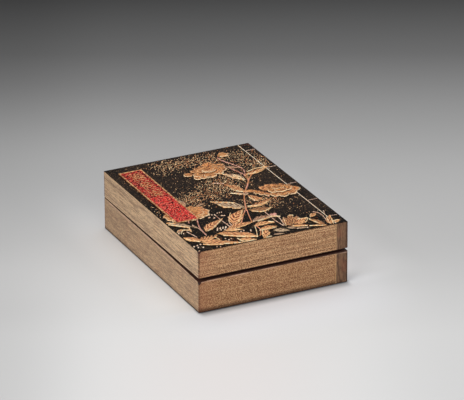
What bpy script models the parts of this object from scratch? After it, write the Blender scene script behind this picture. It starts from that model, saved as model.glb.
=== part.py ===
"""Small lacquer box in the form of two thread-bound books, one lying on the other.

The lower book is the base and the upper book is the lid. The base has a riser inside its walls,
and the lid slips over the riser and lifts off. The lid lies at its back edge and stands a little
open at the front, as an old lid does that no longer slides all the way down.

The box lies flat: +X points to the spine, +Y to the head of the books and +Z up. The origin is
in the middle of the underside.
"""

import math

import bmesh
import bpy
from mathutils import Vector

# Outer sizes of the two books, in metres.
BOOK_WIDTH = 0.0890
BOOK_LENGTH = 0.1216
BASE_HEIGHT = 0.0187
LID_HEIGHT = 0.0155

# Walls, floor and roof.
LID_WALL = 0.0022
LID_ROOF = 0.0026
BASE_FLOOR = 0.0026
RISER_WALL = 0.0016
RISER_RISE = 0.0065

# Fits between the lid and the base.
RISER_CLEARANCE = 0.00035
SEAT_GAP = 0.0003
FRONT_LIFT = 0.0013

# Rounded corners and broken edges.
CORNER_RADIUS = 0.0009
CORNER_STEPS = 3
OUTER_EDGE = 0.00035
SPINE_EDGE = 0.0009
SHOULDER_EDGE = 0.0003
MOUTH_EDGE = 0.0004
RISER_EDGE = 0.0003
INNER_RADIUS = 0.0006

# Worn corner of the base's shoulder, at the tail and the fore-edge.
WEAR_DEPTH = 0.0007
WEAR_ALONG_TAIL = 0.0110
WEAR_ALONG_FORE_EDGE = 0.0360

# Binding thread and its stitches.
THREAD_INSET = 0.0069
THREAD_WIDTH = 0.0006
THREAD_RISE = 0.00030
THREAD_SUNK = 0.00030
STITCH_COUNT = 5
STITCH_FROM_END = 0.0104

# Title label.
LABEL_WIDTH = 0.0139
LABEL_LENGTH = 0.0750
LABEL_FROM_FORE_EDGE = 0.0057
LABEL_FROM_HEAD = 0.0071
LABEL_BORDER = 0.0007
LABEL_RISE = 0.00040
LABEL_BORDER_RISE = 0.00050

# Relief of the flowers, leaves and stems.
RELIEF_ROOT = 0.00030
STEM_RISE = 0.00038
LEAF_EDGE_RISE = 0.00015
LEAF_RIB_RISE = 0.00052
PETAL_RISE = 0.00028
PETAL_STEP = 0.00015
PETAL_SLOPE = 0.00025

# The ornament is drawn on a sheet of this many units and spread over the lid's top.
SHEET_WIDTH = 89.0
SHEET_LENGTH = 121.6
SHEET_MARGIN = 0.7

# Peonies: centre, half length, half breadth, turn in degrees, share of the full relief.
PEONIES = (
    (51.0, 96.5, 13.4, 9.4, 24.0, 1.0),
    (73.0, 54.6, 13.0, 9.2, -6.0, 1.0),
    (16.6, 48.0, 12.8, 8.0, 0.0, 0.5),
)

# Petal rings of a peony: petals, reach as a share of its half length, first angle in degrees.
PETAL_RINGS = ((7, 1.00, 12.0), (5, 0.70, 40.0), (4, 0.42, 10.0))
PETAL_SPREAD = 1.25
PETAL_SCALLOPS = 3
PETAL_SCALLOP_DEPTH = 0.07
PETAL_POINTS = 9
HEART_REACH = 0.15

BUD = (68.4, 112.8, 3.2, 2.6)

# Leaves: foot, tip, breadth, sideways bend.
LEAVES = (
    (56.5, 89.0, 65.0, 76.0, 5.0, 0.8),
    (67.0, 81.3, 84.0, 86.6, 4.2, -1.2),
    (57.4, 61.0, 47.5, 79.0, 4.6, -1.5),
    (56.0, 57.0, 48.4, 63.0, 2.8, 0.4),
    (58.6, 44.5, 55.5, 58.0, 4.4, 0.6),
    (48.0, 42.0, 33.5, 56.5, 7.2, 0.6),
    (48.5, 41.5, 66.5, 47.5, 5.4, -0.8),
    (49.0, 35.5, 65.0, 40.5, 6.2, 0.6),
    (36.0, 22.6, 43.5, 40.2, 8.0, 1.2),
    (15.6, 22.5, 31.0, 34.6, 6.2, 0.6),
    (26.0, 18.5, 60.0, 22.0, 5.6, 3.6),
    (1.0, 42.5, 9.0, 26.0, 6.4, 2.2),
    (1.0, 21.5, 13.0, 11.5, 6.6, -1.0),
    (7.0, 9.5, 36.5, 2.0, 7.0, -1.6),
    (13.0, 16.6, 39.0, 3.6, 8.6, 0.8),
    (22.0, 18.8, 53.0, 12.0, 7.6, 1.0),
    (41.5, 1.4, 44.6, 11.8, 6.4, -0.8),
    (46.0, 9.8, 60.5, 3.4, 4.6, -0.8),
    (58.2, 8.6, 64.6, 21.8, 7.6, 1.0),
    (64.5, 15.6, 72.2, 12.0, 4.4, 0.4),
    (57.4, 10.2, 77.0, 1.2, 4.6, -0.6),
    (77.4, 2.6, 72.6, 13.6, 5.0, -0.6),
    (74.0, 14.6, 80.0, 17.8, 3.4, 0.4),
    (79.0, 2.0, 84.2, 12.8, 4.6, 0.8),
    (80.6, 3.6, 87.0, 5.6, 2.6, 0.2),
)

# Stems: breadth, and the points that each one passes.
STEMS = (
    (1.3, ((42.8, 26.0), (44.2, 35.0), (48.6, 45.0), (53.0, 56.0), (58.6, 63.0), (64.0, 71.0), (70.4, 79.0))),
    (1.0, ((64.4, 110.8), (64.6, 105.0), (67.6, 97.0), (70.2, 90.0), (68.6, 82.0))),
    (0.9, ((61.0, 97.6), (66.0, 95.0), (69.4, 92.4))),
    (1.0, ((13.4, 16.6), (13.8, 26.0), (16.4, 34.0), (19.4, 40.4))),
    (0.9, ((36.6, 21.6), (40.4, 28.4), (45.2, 35.6))),
    (0.7, ((29.2, 18.6), (29.0, 28.0), (30.0, 37.6))),
    (0.9, ((59.6, 43.6), (64.0, 47.6), (68.0, 50.0))),
    (0.7, ((54.4, 23.0), (54.6, 16.0), (56.4, 9.4))),
    (0.7, ((58.6, 22.6), (58.0, 16.0), (56.8, 9.6))),
    (0.8, ((37.8, 4.0), (40.0, 10.0), (43.6, 17.6))),
)
STEM_STEPS = 3
LEAF_STEPS = 6

# Colours.
LACQUER_BROWN = (0.020, 0.014, 0.012, 1.0)
RELIEF_GOLD = (0.62, 0.38, 0.15, 1.0)
PAGE_GOLD = (0.38, 0.25, 0.14, 1.0)
LABEL_RED = (0.50, 0.035, 0.03, 1.0)

# Place of each finish in the ornament's list of materials.
GOLD_SLOT = 0
RED_SLOT = 1


def clear_scene():
    for thing in list(bpy.data.objects):
        bpy.data.objects.remove(thing, do_unlink=True)


def lacquer(name, colour, roughness, metallic):
    material = bpy.data.materials.new(name)
    material.use_nodes = True
    shader = material.node_tree.nodes["Principled BSDF"]
    shader.inputs["Base Color"].default_value = colour
    shader.inputs["Roughness"].default_value = roughness
    shader.inputs["Metallic"].default_value = metallic
    return material


def add_object(name, mesh_builder, materials, parent=None):
    """Turn a finished bmesh into an object with the given materials."""
    bmesh.ops.recalc_face_normals(mesh_builder, faces=mesh_builder.faces)
    mesh = bpy.data.meshes.new(name)
    mesh_builder.to_mesh(mesh)
    mesh_builder.free()
    for material in materials:
        mesh.materials.append(material)
    thing = bpy.data.objects.new(name, mesh)
    bpy.context.scene.collection.objects.link(thing)
    thing.parent = parent
    return thing


def ring_points(inset, height, spine_inset, radius, worn):
    """Rounded rectangle round the book's outline, drawn in by inset, counter-clockwise from above.

    It starts at the corner of tail and fore-edge, where worn lowers it. Two extra points, on the
    fore-edge and on the tail, mark where that wear runs out.
    """
    low_x = -BOOK_WIDTH / 2 + inset
    high_x = BOOK_WIDTH / 2 - spine_inset
    low_y = -BOOK_LENGTH / 2 + inset
    high_y = BOOK_LENGTH / 2 - inset
    corners = (
        (low_x + radius, low_y + radius, 180, -worn),
        (high_x - radius, low_y + radius, 270, 0.0),
        (high_x - radius, high_y - radius, 0, 0.0),
        (low_x + radius, high_y - radius, 90, 0.0),
    )
    points = []
    for index, (centre_x, centre_y, start, drop) in enumerate(corners):
        for step in range(CORNER_STEPS + 1):
            angle = math.radians(start + 90 * step / CORNER_STEPS)
            x = centre_x + radius * math.cos(angle)
            y = centre_y + radius * math.sin(angle)
            points.append((x, y, height + drop))
        if index == 0:
            points.append((-BOOK_WIDTH / 2 + WEAR_ALONG_TAIL, low_y, height))
    points.append((low_x, -BOOK_LENGTH / 2 + WEAR_ALONG_FORE_EDGE, height))
    return points


def vessel(profile):
    """Closed shell that follows a profile round the book, with a cap on the first and last ring.

    Each entry of the profile is inset, height, spine inset, corner radius and wear.
    """
    builder = bmesh.new()
    rings = []
    for entry in profile:
        rings.append([builder.verts.new(point) for point in ring_points(*entry)])
    count = len(rings[0])
    for lower, upper in zip(rings, rings[1:]):
        for index in range(count):
            after = (index + 1) % count
            builder.faces.new((lower[index], lower[after], upper[after], upper[index]))
    builder.faces.new(list(reversed(rings[0])))
    builder.faces.new(rings[-1])
    return builder


def riser_inset():
    """Distance from the outside of the books to the outer face of the riser."""
    return LID_WALL + RISER_CLEARANCE


def base_profile():
    """Section of the base: underside, outer wall, worn shoulder, riser and inside down to the floor."""
    outer = riser_inset()
    inner = outer + RISER_WALL
    top = BASE_HEIGHT + RISER_RISE
    spine_mid = SPINE_EDGE * (1 - math.sqrt(0.5))
    return (
        (OUTER_EDGE, 0.0, SPINE_EDGE, CORNER_RADIUS, 0.0),
        (0.0, OUTER_EDGE, spine_mid, CORNER_RADIUS, 0.0),
        (0.0, SPINE_EDGE, 0.0, CORNER_RADIUS, 0.0),
        (0.0, BASE_HEIGHT - SHOULDER_EDGE, 0.0, CORNER_RADIUS, WEAR_DEPTH),
        (SHOULDER_EDGE, BASE_HEIGHT, SHOULDER_EDGE, CORNER_RADIUS, WEAR_DEPTH),
        (outer, BASE_HEIGHT, outer, INNER_RADIUS, 0.0),
        (outer, top - RISER_EDGE, outer, INNER_RADIUS, 0.0),
        (outer + RISER_EDGE, top, outer + RISER_EDGE, INNER_RADIUS, 0.0),
        (inner - RISER_EDGE, top, inner - RISER_EDGE, INNER_RADIUS, 0.0),
        (inner, top - RISER_EDGE, inner, INNER_RADIUS, 0.0),
        (inner, BASE_FLOOR, inner, INNER_RADIUS, 0.0),
    )


def lid_profile():
    """Section of the lid, from the middle of its top over the wall to its ceiling."""
    spine_mid = SPINE_EDGE * (1 - math.sqrt(0.5))
    return (
        (OUTER_EDGE, LID_HEIGHT, SPINE_EDGE, CORNER_RADIUS, 0.0),
        (0.0, LID_HEIGHT - OUTER_EDGE, spine_mid, CORNER_RADIUS, 0.0),
        (0.0, LID_HEIGHT - SPINE_EDGE, 0.0, CORNER_RADIUS, 0.0),
        (0.0, MOUTH_EDGE, 0.0, CORNER_RADIUS, 0.0),
        (MOUTH_EDGE, 0.0, MOUTH_EDGE, CORNER_RADIUS, 0.0),
        (LID_WALL - MOUTH_EDGE, 0.0, LID_WALL - MOUTH_EDGE, INNER_RADIUS, 0.0),
        (LID_WALL, MOUTH_EDGE, LID_WALL, INNER_RADIUS, 0.0),
        (LID_WALL, LID_HEIGHT - LID_ROOF, LID_WALL, INNER_RADIUS, 0.0),
    )


def on_lid(u, v, rise):
    """Point of the ornament sheet, spread over the top of the lid at the given height above it."""
    u = min(max(u, SHEET_MARGIN), SHEET_WIDTH - SHEET_MARGIN)
    v = min(max(v, SHEET_MARGIN), SHEET_LENGTH - SHEET_MARGIN)
    x = (u / SHEET_WIDTH - 0.5) * BOOK_WIDTH
    y = (v / SHEET_LENGTH - 0.5) * BOOK_LENGTH
    return Vector((x, y, LID_HEIGHT + rise))


def pad(builder, outline, rise, slope=0.0):
    """Low block on the lid whose top is the outline drawn in by slope, sunk into the roof below."""
    count = len(outline)
    centre = Vector((0.0, 0.0))
    for u, v in outline:
        centre += Vector((u, v)) / count
    foot = [builder.verts.new(on_lid(u, v, -RELIEF_ROOT)) for u, v in outline]
    draw_in = slope / BOOK_WIDTH * SHEET_WIDTH
    top = []
    for u, v in outline:
        inward = centre - Vector((u, v))
        moved = Vector((u, v)) + inward.normalized() * min(draw_in, inward.length / 2)
        top.append(builder.verts.new(on_lid(moved.x, moved.y, rise)))
    for index in range(count):
        after = (index + 1) % count
        builder.faces.new((foot[index], foot[after], top[after], top[index]))
    builder.faces.new(list(reversed(foot)))
    builder.faces.new(top)


def ridge(builder, middle, half_breadths, edge_rise, rib_rise):
    """Low roof along a middle line, with a raised rib, for a leaf or a stem.

    A half breadth of nought at an end brings that end to a point.
    """
    rows = []
    last = len(middle) - 1
    for index, point in enumerate(middle):
        before = middle[max(index - 1, 0)]
        after = middle[min(index + 1, last)]
        along = (after - before).normalized()
        side = Vector((-along.y, along.x)) * half_breadths[index]
        left = point + side
        right = point - side
        if half_breadths[index] == 0.0:
            tip_top = builder.verts.new(on_lid(point.x, point.y, edge_rise))
            tip_foot = builder.verts.new(on_lid(point.x, point.y, -RELIEF_ROOT))
            rows.append((tip_foot, tip_top, tip_top, tip_top, tip_foot))
            continue
        rows.append((
            builder.verts.new(on_lid(left.x, left.y, -RELIEF_ROOT)),
            builder.verts.new(on_lid(left.x, left.y, edge_rise)),
            builder.verts.new(on_lid(point.x, point.y, rib_rise)),
            builder.verts.new(on_lid(right.x, right.y, edge_rise)),
            builder.verts.new(on_lid(right.x, right.y, -RELIEF_ROOT)),
        ))
    for row, following in zip(rows, rows[1:]):
        for index in range(5):
            after = (index + 1) % 5
            corners = []
            for vertex in (row[index], row[after], following[after], following[index]):
                if vertex not in corners:
                    corners.append(vertex)
            if len(corners) > 2:
                builder.faces.new(corners)
    for row in (rows[0], rows[-1]):
        if row[0] is not row[4]:
            builder.faces.new(row)


def leaf(builder, foot_u, foot_v, tip_u, tip_v, breadth, bend):
    """Lance-shaped leaf, broadest below its middle, that bends to one side between foot and tip."""
    foot = Vector((foot_u, foot_v))
    tip = Vector((tip_u, tip_v))
    along = (tip - foot).normalized()
    sideways = Vector((-along.y, along.x))
    middle = []
    half_breadths = []
    for step in range(LEAF_STEPS + 1):
        t = step / LEAF_STEPS
        middle.append(foot.lerp(tip, t) + sideways * bend * math.sin(math.pi * t))
        half_breadths.append(breadth / 2 * math.sin(math.pi * t ** 0.8))
    half_breadths[0] = 0.0
    half_breadths[-1] = 0.0
    ridge(builder, middle, half_breadths, LEAF_EDGE_RISE, LEAF_RIB_RISE)


def smooth_route(points):
    """Points along a smooth curve through the given ones, with STEM_STEPS steps between each two."""
    route = [Vector(point) for point in points]
    padded = [2 * route[0] - route[1]] + route + [2 * route[-1] - route[-2]]
    result = []
    for index in range(1, len(padded) - 2):
        p0, p1, p2, p3 = padded[index - 1:index + 3]
        for step in range(STEM_STEPS):
            t = step / STEM_STEPS
            pull = (p2 - p0) * t
            pull += (2 * p0 - 5 * p1 + 4 * p2 - p3) * t ** 2
            pull += (3 * p1 - p0 - 3 * p2 + p3) * t ** 3
            result.append(p1 + pull / 2)
    result.append(route[-1])
    return result


def stem(builder, breadth, points):
    """Stem of even breadth along a smooth curve, pointed at both ends."""
    middle = smooth_route(points)
    half_breadths = [breadth / 2] * len(middle)
    half_breadths[0] = 0.0
    half_breadths[-1] = 0.0
    ridge(builder, middle, half_breadths, LEAF_EDGE_RISE, STEM_RISE)


def petal_outline(angle, half_angle, reach):
    """Fan with a scalloped rim round the blossom's centre, on a circle of radius 1."""
    outline = [Vector((0.12 * math.cos(angle), 0.12 * math.sin(angle)))]
    for step in range(PETAL_POINTS):
        t = step / (PETAL_POINTS - 1)
        direction = angle + half_angle * (2 * t - 1)
        shoulder = 1 - 0.28 * (2 * t - 1) ** 4
        wave = 1 - PETAL_SCALLOP_DEPTH * math.cos(2 * math.pi * PETAL_SCALLOPS * t)
        distance = reach * shoulder * wave
        outline.append(Vector((distance * math.cos(direction), distance * math.sin(direction))))
    return outline


def peony(builder, centre_u, centre_v, half_length, half_breadth, turn, share):
    """Full blossom: rings of scalloped petals, each ring smaller and higher, round a small heart."""
    turned = math.radians(turn)
    across = Vector((math.cos(turned), math.sin(turned)))
    upward = Vector((-math.sin(turned), math.cos(turned)))
    centre = Vector((centre_u, centre_v))

    def placed(point):
        spot = centre + across * point.x * half_length + upward * point.y * half_breadth
        return spot.x, spot.y

    rise = PETAL_RISE
    for petals, reach, first in PETAL_RINGS:
        half_angle = math.pi / petals * PETAL_SPREAD
        for index in range(petals):
            angle = math.radians(first) + 2 * math.pi * index / petals
            outline = [placed(point) for point in petal_outline(angle, half_angle, reach)]
            lift = PETAL_STEP / 3 * (index % 3)
            pad(builder, outline, (rise + lift) * share, PETAL_SLOPE)
        rise += PETAL_STEP
    heart = []
    for index in range(8):
        angle = 2 * math.pi * index / 8
        heart.append(placed(Vector((HEART_REACH * math.cos(angle), HEART_REACH * math.sin(angle)))))
    pad(builder, heart, (rise + PETAL_STEP) * share, PETAL_SLOPE)


def bud(builder, centre_u, centre_v, half_length, half_breadth):
    """Closed bud: a round pad with a smaller one on it."""
    for size, rise in ((1.0, PETAL_RISE), (0.6, PETAL_RISE + PETAL_STEP)):
        outline = []
        for index in range(10):
            angle = 2 * math.pi * index / 10
            u = centre_u + size * half_length * math.cos(angle)
            v = centre_v + size * half_breadth * math.sin(angle)
            outline.append((u, v))
        pad(builder, outline, rise, PETAL_SLOPE)


def block(builder, low, high, slot=GOLD_SLOT):
    """Plain block between two corners, for the label, the thread and the stitches."""
    corners = []
    for x in (low[0], high[0]):
        for y in (low[1], high[1]):
            for z in (low[2], high[2]):
                corners.append(builder.verts.new((x, y, z)))
    for face in ((0, 1, 3, 2), (4, 6, 7, 5), (0, 4, 5, 1), (2, 3, 7, 6), (0, 2, 6, 4), (1, 5, 7, 3)):
        side = builder.faces.new([corners[index] for index in face])
        side.material_index = slot


def label(builder):
    """Title label: a flat field with a raised border, near the fore-edge and the head."""
    low_x = -BOOK_WIDTH / 2 + LABEL_FROM_FORE_EDGE
    high_x = low_x + LABEL_WIDTH
    high_y = BOOK_LENGTH / 2 - LABEL_FROM_HEAD
    low_y = high_y - LABEL_LENGTH
    root = LID_HEIGHT - RELIEF_ROOT
    block(builder, (low_x, low_y, root), (high_x, high_y, LID_HEIGHT + LABEL_RISE), RED_SLOT)
    border_top = LID_HEIGHT + LABEL_BORDER_RISE
    for side_x in (low_x, high_x - LABEL_BORDER):
        block(builder, (side_x, low_y, root), (side_x + LABEL_BORDER, high_y, border_top))
    for side_y in (low_y, high_y - LABEL_BORDER):
        block(builder, (low_x, side_y, root), (high_x, side_y + LABEL_BORDER, border_top))


def stitch_places():
    """Places along the spine where a stitch crosses it."""
    reach = BOOK_LENGTH - 2 * STITCH_FROM_END
    first = -BOOK_LENGTH / 2 + STITCH_FROM_END
    return [first + reach * index / (STITCH_COUNT - 1) for index in range(STITCH_COUNT)]


def thread_on_top(builder):
    """Thread along the spine and its stitches out to the spine's edge, on top of the lid."""
    line_x = BOOK_WIDTH / 2 - THREAD_INSET
    half = THREAD_WIDTH / 2
    root = LID_HEIGHT - THREAD_SUNK
    top = LID_HEIGHT + THREAD_RISE
    end = BOOK_LENGTH / 2 - OUTER_EDGE
    block(builder, (line_x - half, -end, root), (line_x + half, end, top))
    for place in stitch_places():
        block(builder, (line_x, place - half, root), (BOOK_WIDTH / 2 - SPINE_EDGE, place + half, top))


def ornament():
    """All that stands up from the lid's top, as overlapping closed blocks."""
    builder = bmesh.new()
    for entry in STEMS:
        stem(builder, *entry)
    for entry in LEAVES:
        leaf(builder, *entry)
    for entry in PEONIES:
        peony(builder, *entry)
    bud(builder, *BUD)
    label(builder)
    thread_on_top(builder)
    return builder


def fuse(thing, other):
    """Join another object's mesh to this one, as one body that keeps both their finishes."""
    other.hide_render = True
    other.display_type = "WIRE"
    union = thing.modifiers.new("fused", "BOOLEAN")
    union.operation = "UNION"
    union.solver = "EXACT"
    union.use_self = True
    union.material_mode = "TRANSFER"
    union.object = other


def base(materials):
    return add_object("box_base", vessel(base_profile()), materials)


def lid(body_materials, relief_materials):
    """Lid with its relief, turned a little about its back lower edge so that its front stands open."""
    hinge_line = bpy.data.objects.new("lid_back_edge", None)
    hinge_line.location = (0.0, BOOK_LENGTH / 2, BASE_HEIGHT + SEAT_GAP)
    hinge_line.rotation_euler = (-math.asin(FRONT_LIFT / BOOK_LENGTH), 0.0, 0.0)
    bpy.context.scene.collection.objects.link(hinge_line)
    body = add_object("box_lid", vessel(lid_profile()), body_materials, parent=hinge_line)
    relief = add_object("lid_ornament", ornament(), relief_materials, parent=hinge_line)
    for thing in (body, relief):
        thing.location = (0.0, -BOOK_LENGTH / 2, 0.0)
    fuse(body, relief)
    return body


def main():
    clear_scene()
    page_gold = lacquer("page_gold", PAGE_GOLD, 0.45, 0.6)
    brown = lacquer("brown_lacquer", LACQUER_BROWN, 0.25, 0.0)
    relief_gold = lacquer("relief_gold", RELIEF_GOLD, 0.35, 0.8)
    label_red = lacquer("label_red", LABEL_RED, 0.4, 0.0)
    base((page_gold,))
    lid((brown,), (relief_gold, label_red))


main()
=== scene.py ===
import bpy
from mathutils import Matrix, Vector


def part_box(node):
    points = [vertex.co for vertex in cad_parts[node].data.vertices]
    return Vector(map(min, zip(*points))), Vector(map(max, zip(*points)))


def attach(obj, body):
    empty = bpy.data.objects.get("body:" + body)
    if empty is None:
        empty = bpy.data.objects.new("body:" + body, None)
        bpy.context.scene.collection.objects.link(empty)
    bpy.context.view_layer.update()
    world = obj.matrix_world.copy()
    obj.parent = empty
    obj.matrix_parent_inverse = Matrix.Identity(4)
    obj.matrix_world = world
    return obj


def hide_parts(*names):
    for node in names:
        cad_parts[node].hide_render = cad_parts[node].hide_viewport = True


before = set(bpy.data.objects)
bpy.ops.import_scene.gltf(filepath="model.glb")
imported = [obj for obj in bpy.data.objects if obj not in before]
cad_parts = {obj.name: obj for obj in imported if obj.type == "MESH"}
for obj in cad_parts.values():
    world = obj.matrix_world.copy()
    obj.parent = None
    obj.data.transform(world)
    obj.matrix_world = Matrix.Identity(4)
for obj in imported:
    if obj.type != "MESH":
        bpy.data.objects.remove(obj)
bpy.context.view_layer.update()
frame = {"nodes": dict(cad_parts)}

import math
import random

import bpy
import numpy as np
from mathutils import Matrix, Vector

# A small lacquer box in the form of two thread-bound books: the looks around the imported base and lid.
# +X points to the spine, +Y to the head of the books, +Z up. Lengths are metres; the flower sheet is in mm.

tiny = 0.00002
mm = 0.001
print("frame loaded:", ", ".join(frame["nodes"]))


# Selecting and finishing

def clearSelection():
    if bpy.context.mode != "OBJECT":
        bpy.ops.object.mode_set(mode="OBJECT")
    bpy.ops.object.select_all(action="DESELECT")


def take(*pieces):
    clearSelection()
    for piece in pieces:
        piece.select_set(True)
    bpy.context.view_layer.objects.active = pieces[0]


def pick(kind, test):
    # leaves edit mode on, with only the verts or faces selected that pass the test
    mesh = bpy.context.object.data
    bpy.ops.object.mode_set(mode="EDIT")
    bpy.ops.mesh.select_mode(type=kind)
    bpy.ops.mesh.select_all(action="DESELECT")
    bpy.ops.object.mode_set(mode="OBJECT")
    if kind == "VERT":
        for vertex in mesh.vertices:
            vertex.select = test(vertex.co)
    else:
        for face in mesh.polygons:
            face.select = test(face.center, face.normal)
    bpy.ops.object.mode_set(mode="EDIT")


def done(name):
    if bpy.context.mode != "OBJECT":
        bpy.ops.object.mode_set(mode="OBJECT")
    piece = bpy.context.object
    piece.name = name
    piece.data.name = name
    return piece


def addBlock(name, centre, size):
    clearSelection()
    bpy.ops.mesh.primitive_cube_add(size=1, location=centre, scale=size)
    bpy.ops.object.transform_apply(location=True, rotation=True, scale=True)
    return done(name)


def applyModifier(piece, kind, **settings):
    take(piece)
    modifier = piece.modifiers.new(kind.lower(), kind)
    for setting, value in settings.items():
        setattr(modifier, setting, value)
    bpy.ops.object.modifier_apply(modifier=modifier.name)


def roundEdges(piece, width, segments, rule):
    # bevels each edge by the share of width that the rule gives it
    weights = piece.data.attributes.new("bevel_weight_edge", "FLOAT", "EDGE")
    points = piece.data.vertices
    for edge in piece.data.edges:
        weights.data[edge.index].value = rule(points[edge.vertices[0]].co, points[edge.vertices[1]].co)
    applyModifier(piece, "BEVEL", width=width, segments=segments, limit_method="WEIGHT", loop_slide=True)


def joinAll(name, pieces):
    take(*pieces)
    if len(pieces) > 1:
        bpy.ops.object.join()
    return done(name)


# Shader writing

class Link:
    # wraps a socket, so that plain arithmetic on it adds Math nodes
    def __init__(self, finish, socket):
        self.finish = finish
        self.socket = socket

    def maths(self, operation, *others):
        sockets = dict(enumerate((self,) + others))
        return self.finish.node("ShaderNodeMath", {"operation": operation}, sockets)

    def __add__(self, other):
        return self.maths("ADD", other)

    def __sub__(self, other):
        return self.maths("SUBTRACT", other)

    def __rsub__(self, other):
        return self.finish.node("ShaderNodeMath", {"operation": "SUBTRACT"}, {0: other, 1: self})

    def __mul__(self, other):
        return self.maths("MULTIPLY", other)

    __radd__ = __add__
    __rmul__ = __mul__

    def __gt__(self, other):
        return self.maths("GREATER_THAN", other)

    def __lt__(self, other):
        return self.maths("LESS_THAN", other)

    def __abs__(self):
        return self.maths("ABSOLUTE")

    def larger(self, other):
        return self.maths("MAXIMUM", other)

    def smaller(self, other):
        return self.maths("MINIMUM", other)

    def wave(self):
        return self.maths("SINE")


class Finish:
    # one material, with the handful of nodes that the finishes below are written in
    def __init__(self, name):
        self.material = bpy.data.materials.new(name)
        self.material.use_nodes = True
        self.tree = self.material.node_tree
        self.shader = self.tree.nodes["Principled BSDF"]

    def feed(self, socket, value):
        if isinstance(value, Link):
            self.tree.links.new(value.socket, socket)
        else:
            socket.default_value = value

    def node(self, kind, settings, sockets, output=0):
        made = self.tree.nodes.new(kind)
        for setting, value in settings.items():
            if setting == "stops":
                while len(made.color_ramp.elements) < len(value):
                    made.color_ramp.elements.new(0.5)
                for element, (place, colour) in zip(made.color_ramp.elements, value):
                    element.position = place
                    element.color = colour
            else:
                setattr(made, setting, value)
        for socket, value in sockets.items():
            self.feed(made.inputs[socket], value)
        return Link(self, made.outputs[output])

    def coords(self, kind="Object"):
        return self.node("ShaderNodeTexCoord", {}, {}, kind)

    def moved(self, vector, shift=(0, 0, 0), turn=(0, 0, 0), stretch=(1, 1, 1)):
        return self.node("ShaderNodeMapping", {}, {"Vector": vector, "Location": shift,
                                                   "Rotation": turn, "Scale": stretch})

    def split(self, vector):
        made = self.tree.nodes.new("ShaderNodeSeparateXYZ")
        self.feed(made.inputs[0], vector)
        return [Link(self, socket) for socket in made.outputs]

    def marked(self, name):
        return self.node("ShaderNodeAttribute", {"attribute_name": name}, {}, "Fac")

    def noise(self, vector, scale, detail=2.0, roughness=0.5):
        return self.node("ShaderNodeTexNoise", {}, {"Vector": vector, "Scale": scale, "Detail": detail,
                                                    "Roughness": roughness})

    def drawnOut(self, vector, stretch, detail=1.0, roughness=0.5):
        # noise with so many cells to the metre along each axis
        return self.noise(self.moved(vector, stretch=stretch), 1.0, detail, roughness)

    def rise(self, value, low, high):
        # 0 up to low, 1 from high, smooth between; low above high turns it round
        return self.node("ShaderNodeMapRange", {"interpolation_type": "SMOOTHSTEP"},
                         {"Value": value, "From Min": low, "From Max": high})

    def coats(self, colour, *coats):
        # lays colours over a first one, each by its share
        for share, over in coats:
            colour = self.node("ShaderNodeMix", {"data_type": "RGBA"}, {0: share, 6: colour, 7: over}, 2)
        return colour

    def ramp(self, value, stops):
        return self.node("ShaderNodeValToRGB", {"stops": stops}, {"Fac": value})

    def bump(self, height, strength, distance):
        return self.node("ShaderNodeBump", {}, {"Height": height, "Strength": strength, "Distance": distance})

    def away(self, place, point):
        return self.node("ShaderNodeVectorMath", {"operation": "DISTANCE"}, {0: place, 1: point}, "Value")

    def close(self, **sockets):
        for name, value in sockets.items():
            self.feed(self.shader.inputs[name.replace("_", " ")], value)
        return self.material


def tone(red, green, blue):
    # display colour, 0 to 255, as the linear colour that the shader takes
    linear = []
    for part in (red, green, blue):
        share = part / 255
        linear.append(share / 12.92 if share <= 0.04045 else ((share + 0.055) / 1.055) ** 2.4)
    return tuple(linear) + (1.0,)


# Sizes of the books, from the frame where it tells them

baseLow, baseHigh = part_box("box_base")

books = dict(
    width=baseHigh.x - baseLow.x,
    length=baseHigh.y - baseLow.y,
    baseHeight=18.7 * mm,
    lidHeight=15.5 * mm,
    seat=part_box("box_lid")[0].z,   # height of the lid's mouth at the back
    frontLift=1.3 * mm,       # how much higher the mouth stands at the front
    wall=2.2 * mm,
    roof=2.6 * mm,
    floor=2.6 * mm,
    riserGap=0.35 * mm,
    riserWall=1.6 * mm,
    corner=1.4 * mm,          # radius of the lid's upright corner at spine and head
    upright=0.3 * mm,         # radius of the other upright corners and of the spine's edges
    edge=0.2 * mm,
    mouthEdge=0.2 * mm,
    shoulderEdge=0.3 * mm,
    innerCorner=0.6 * mm,
    wearDepth=0.7 * mm,
    wearAlongTail=11 * mm,
    wearAlongForeEdge=36 * mm,
    stripWidth=6.9 * mm,      # corner strips, as wide as the thread stands in from the spine
    stripReach=10.4 * mm,     # how far they run along the spine
)
halfWidth = books["width"] / 2
halfLength = books["length"] / 2
lidTop = books["seat"] + books["lidHeight"]
tipAngle = math.asin(books["frontLift"] / books["length"])
backEdge = Vector((0, halfLength, books["seat"]))
threadX = halfWidth - books["stripWidth"]


def tipLid(piece):
    # the lid's pieces are made level, then turned about the lid's back lower edge
    turn = Matrix.Rotation(-tipAngle, 4, "X")
    piece.data.transform(Matrix.Translation(backEdge) @ turn @ Matrix.Translation(-backEdge))
    piece.data.update()


# Finishes of the books

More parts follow.
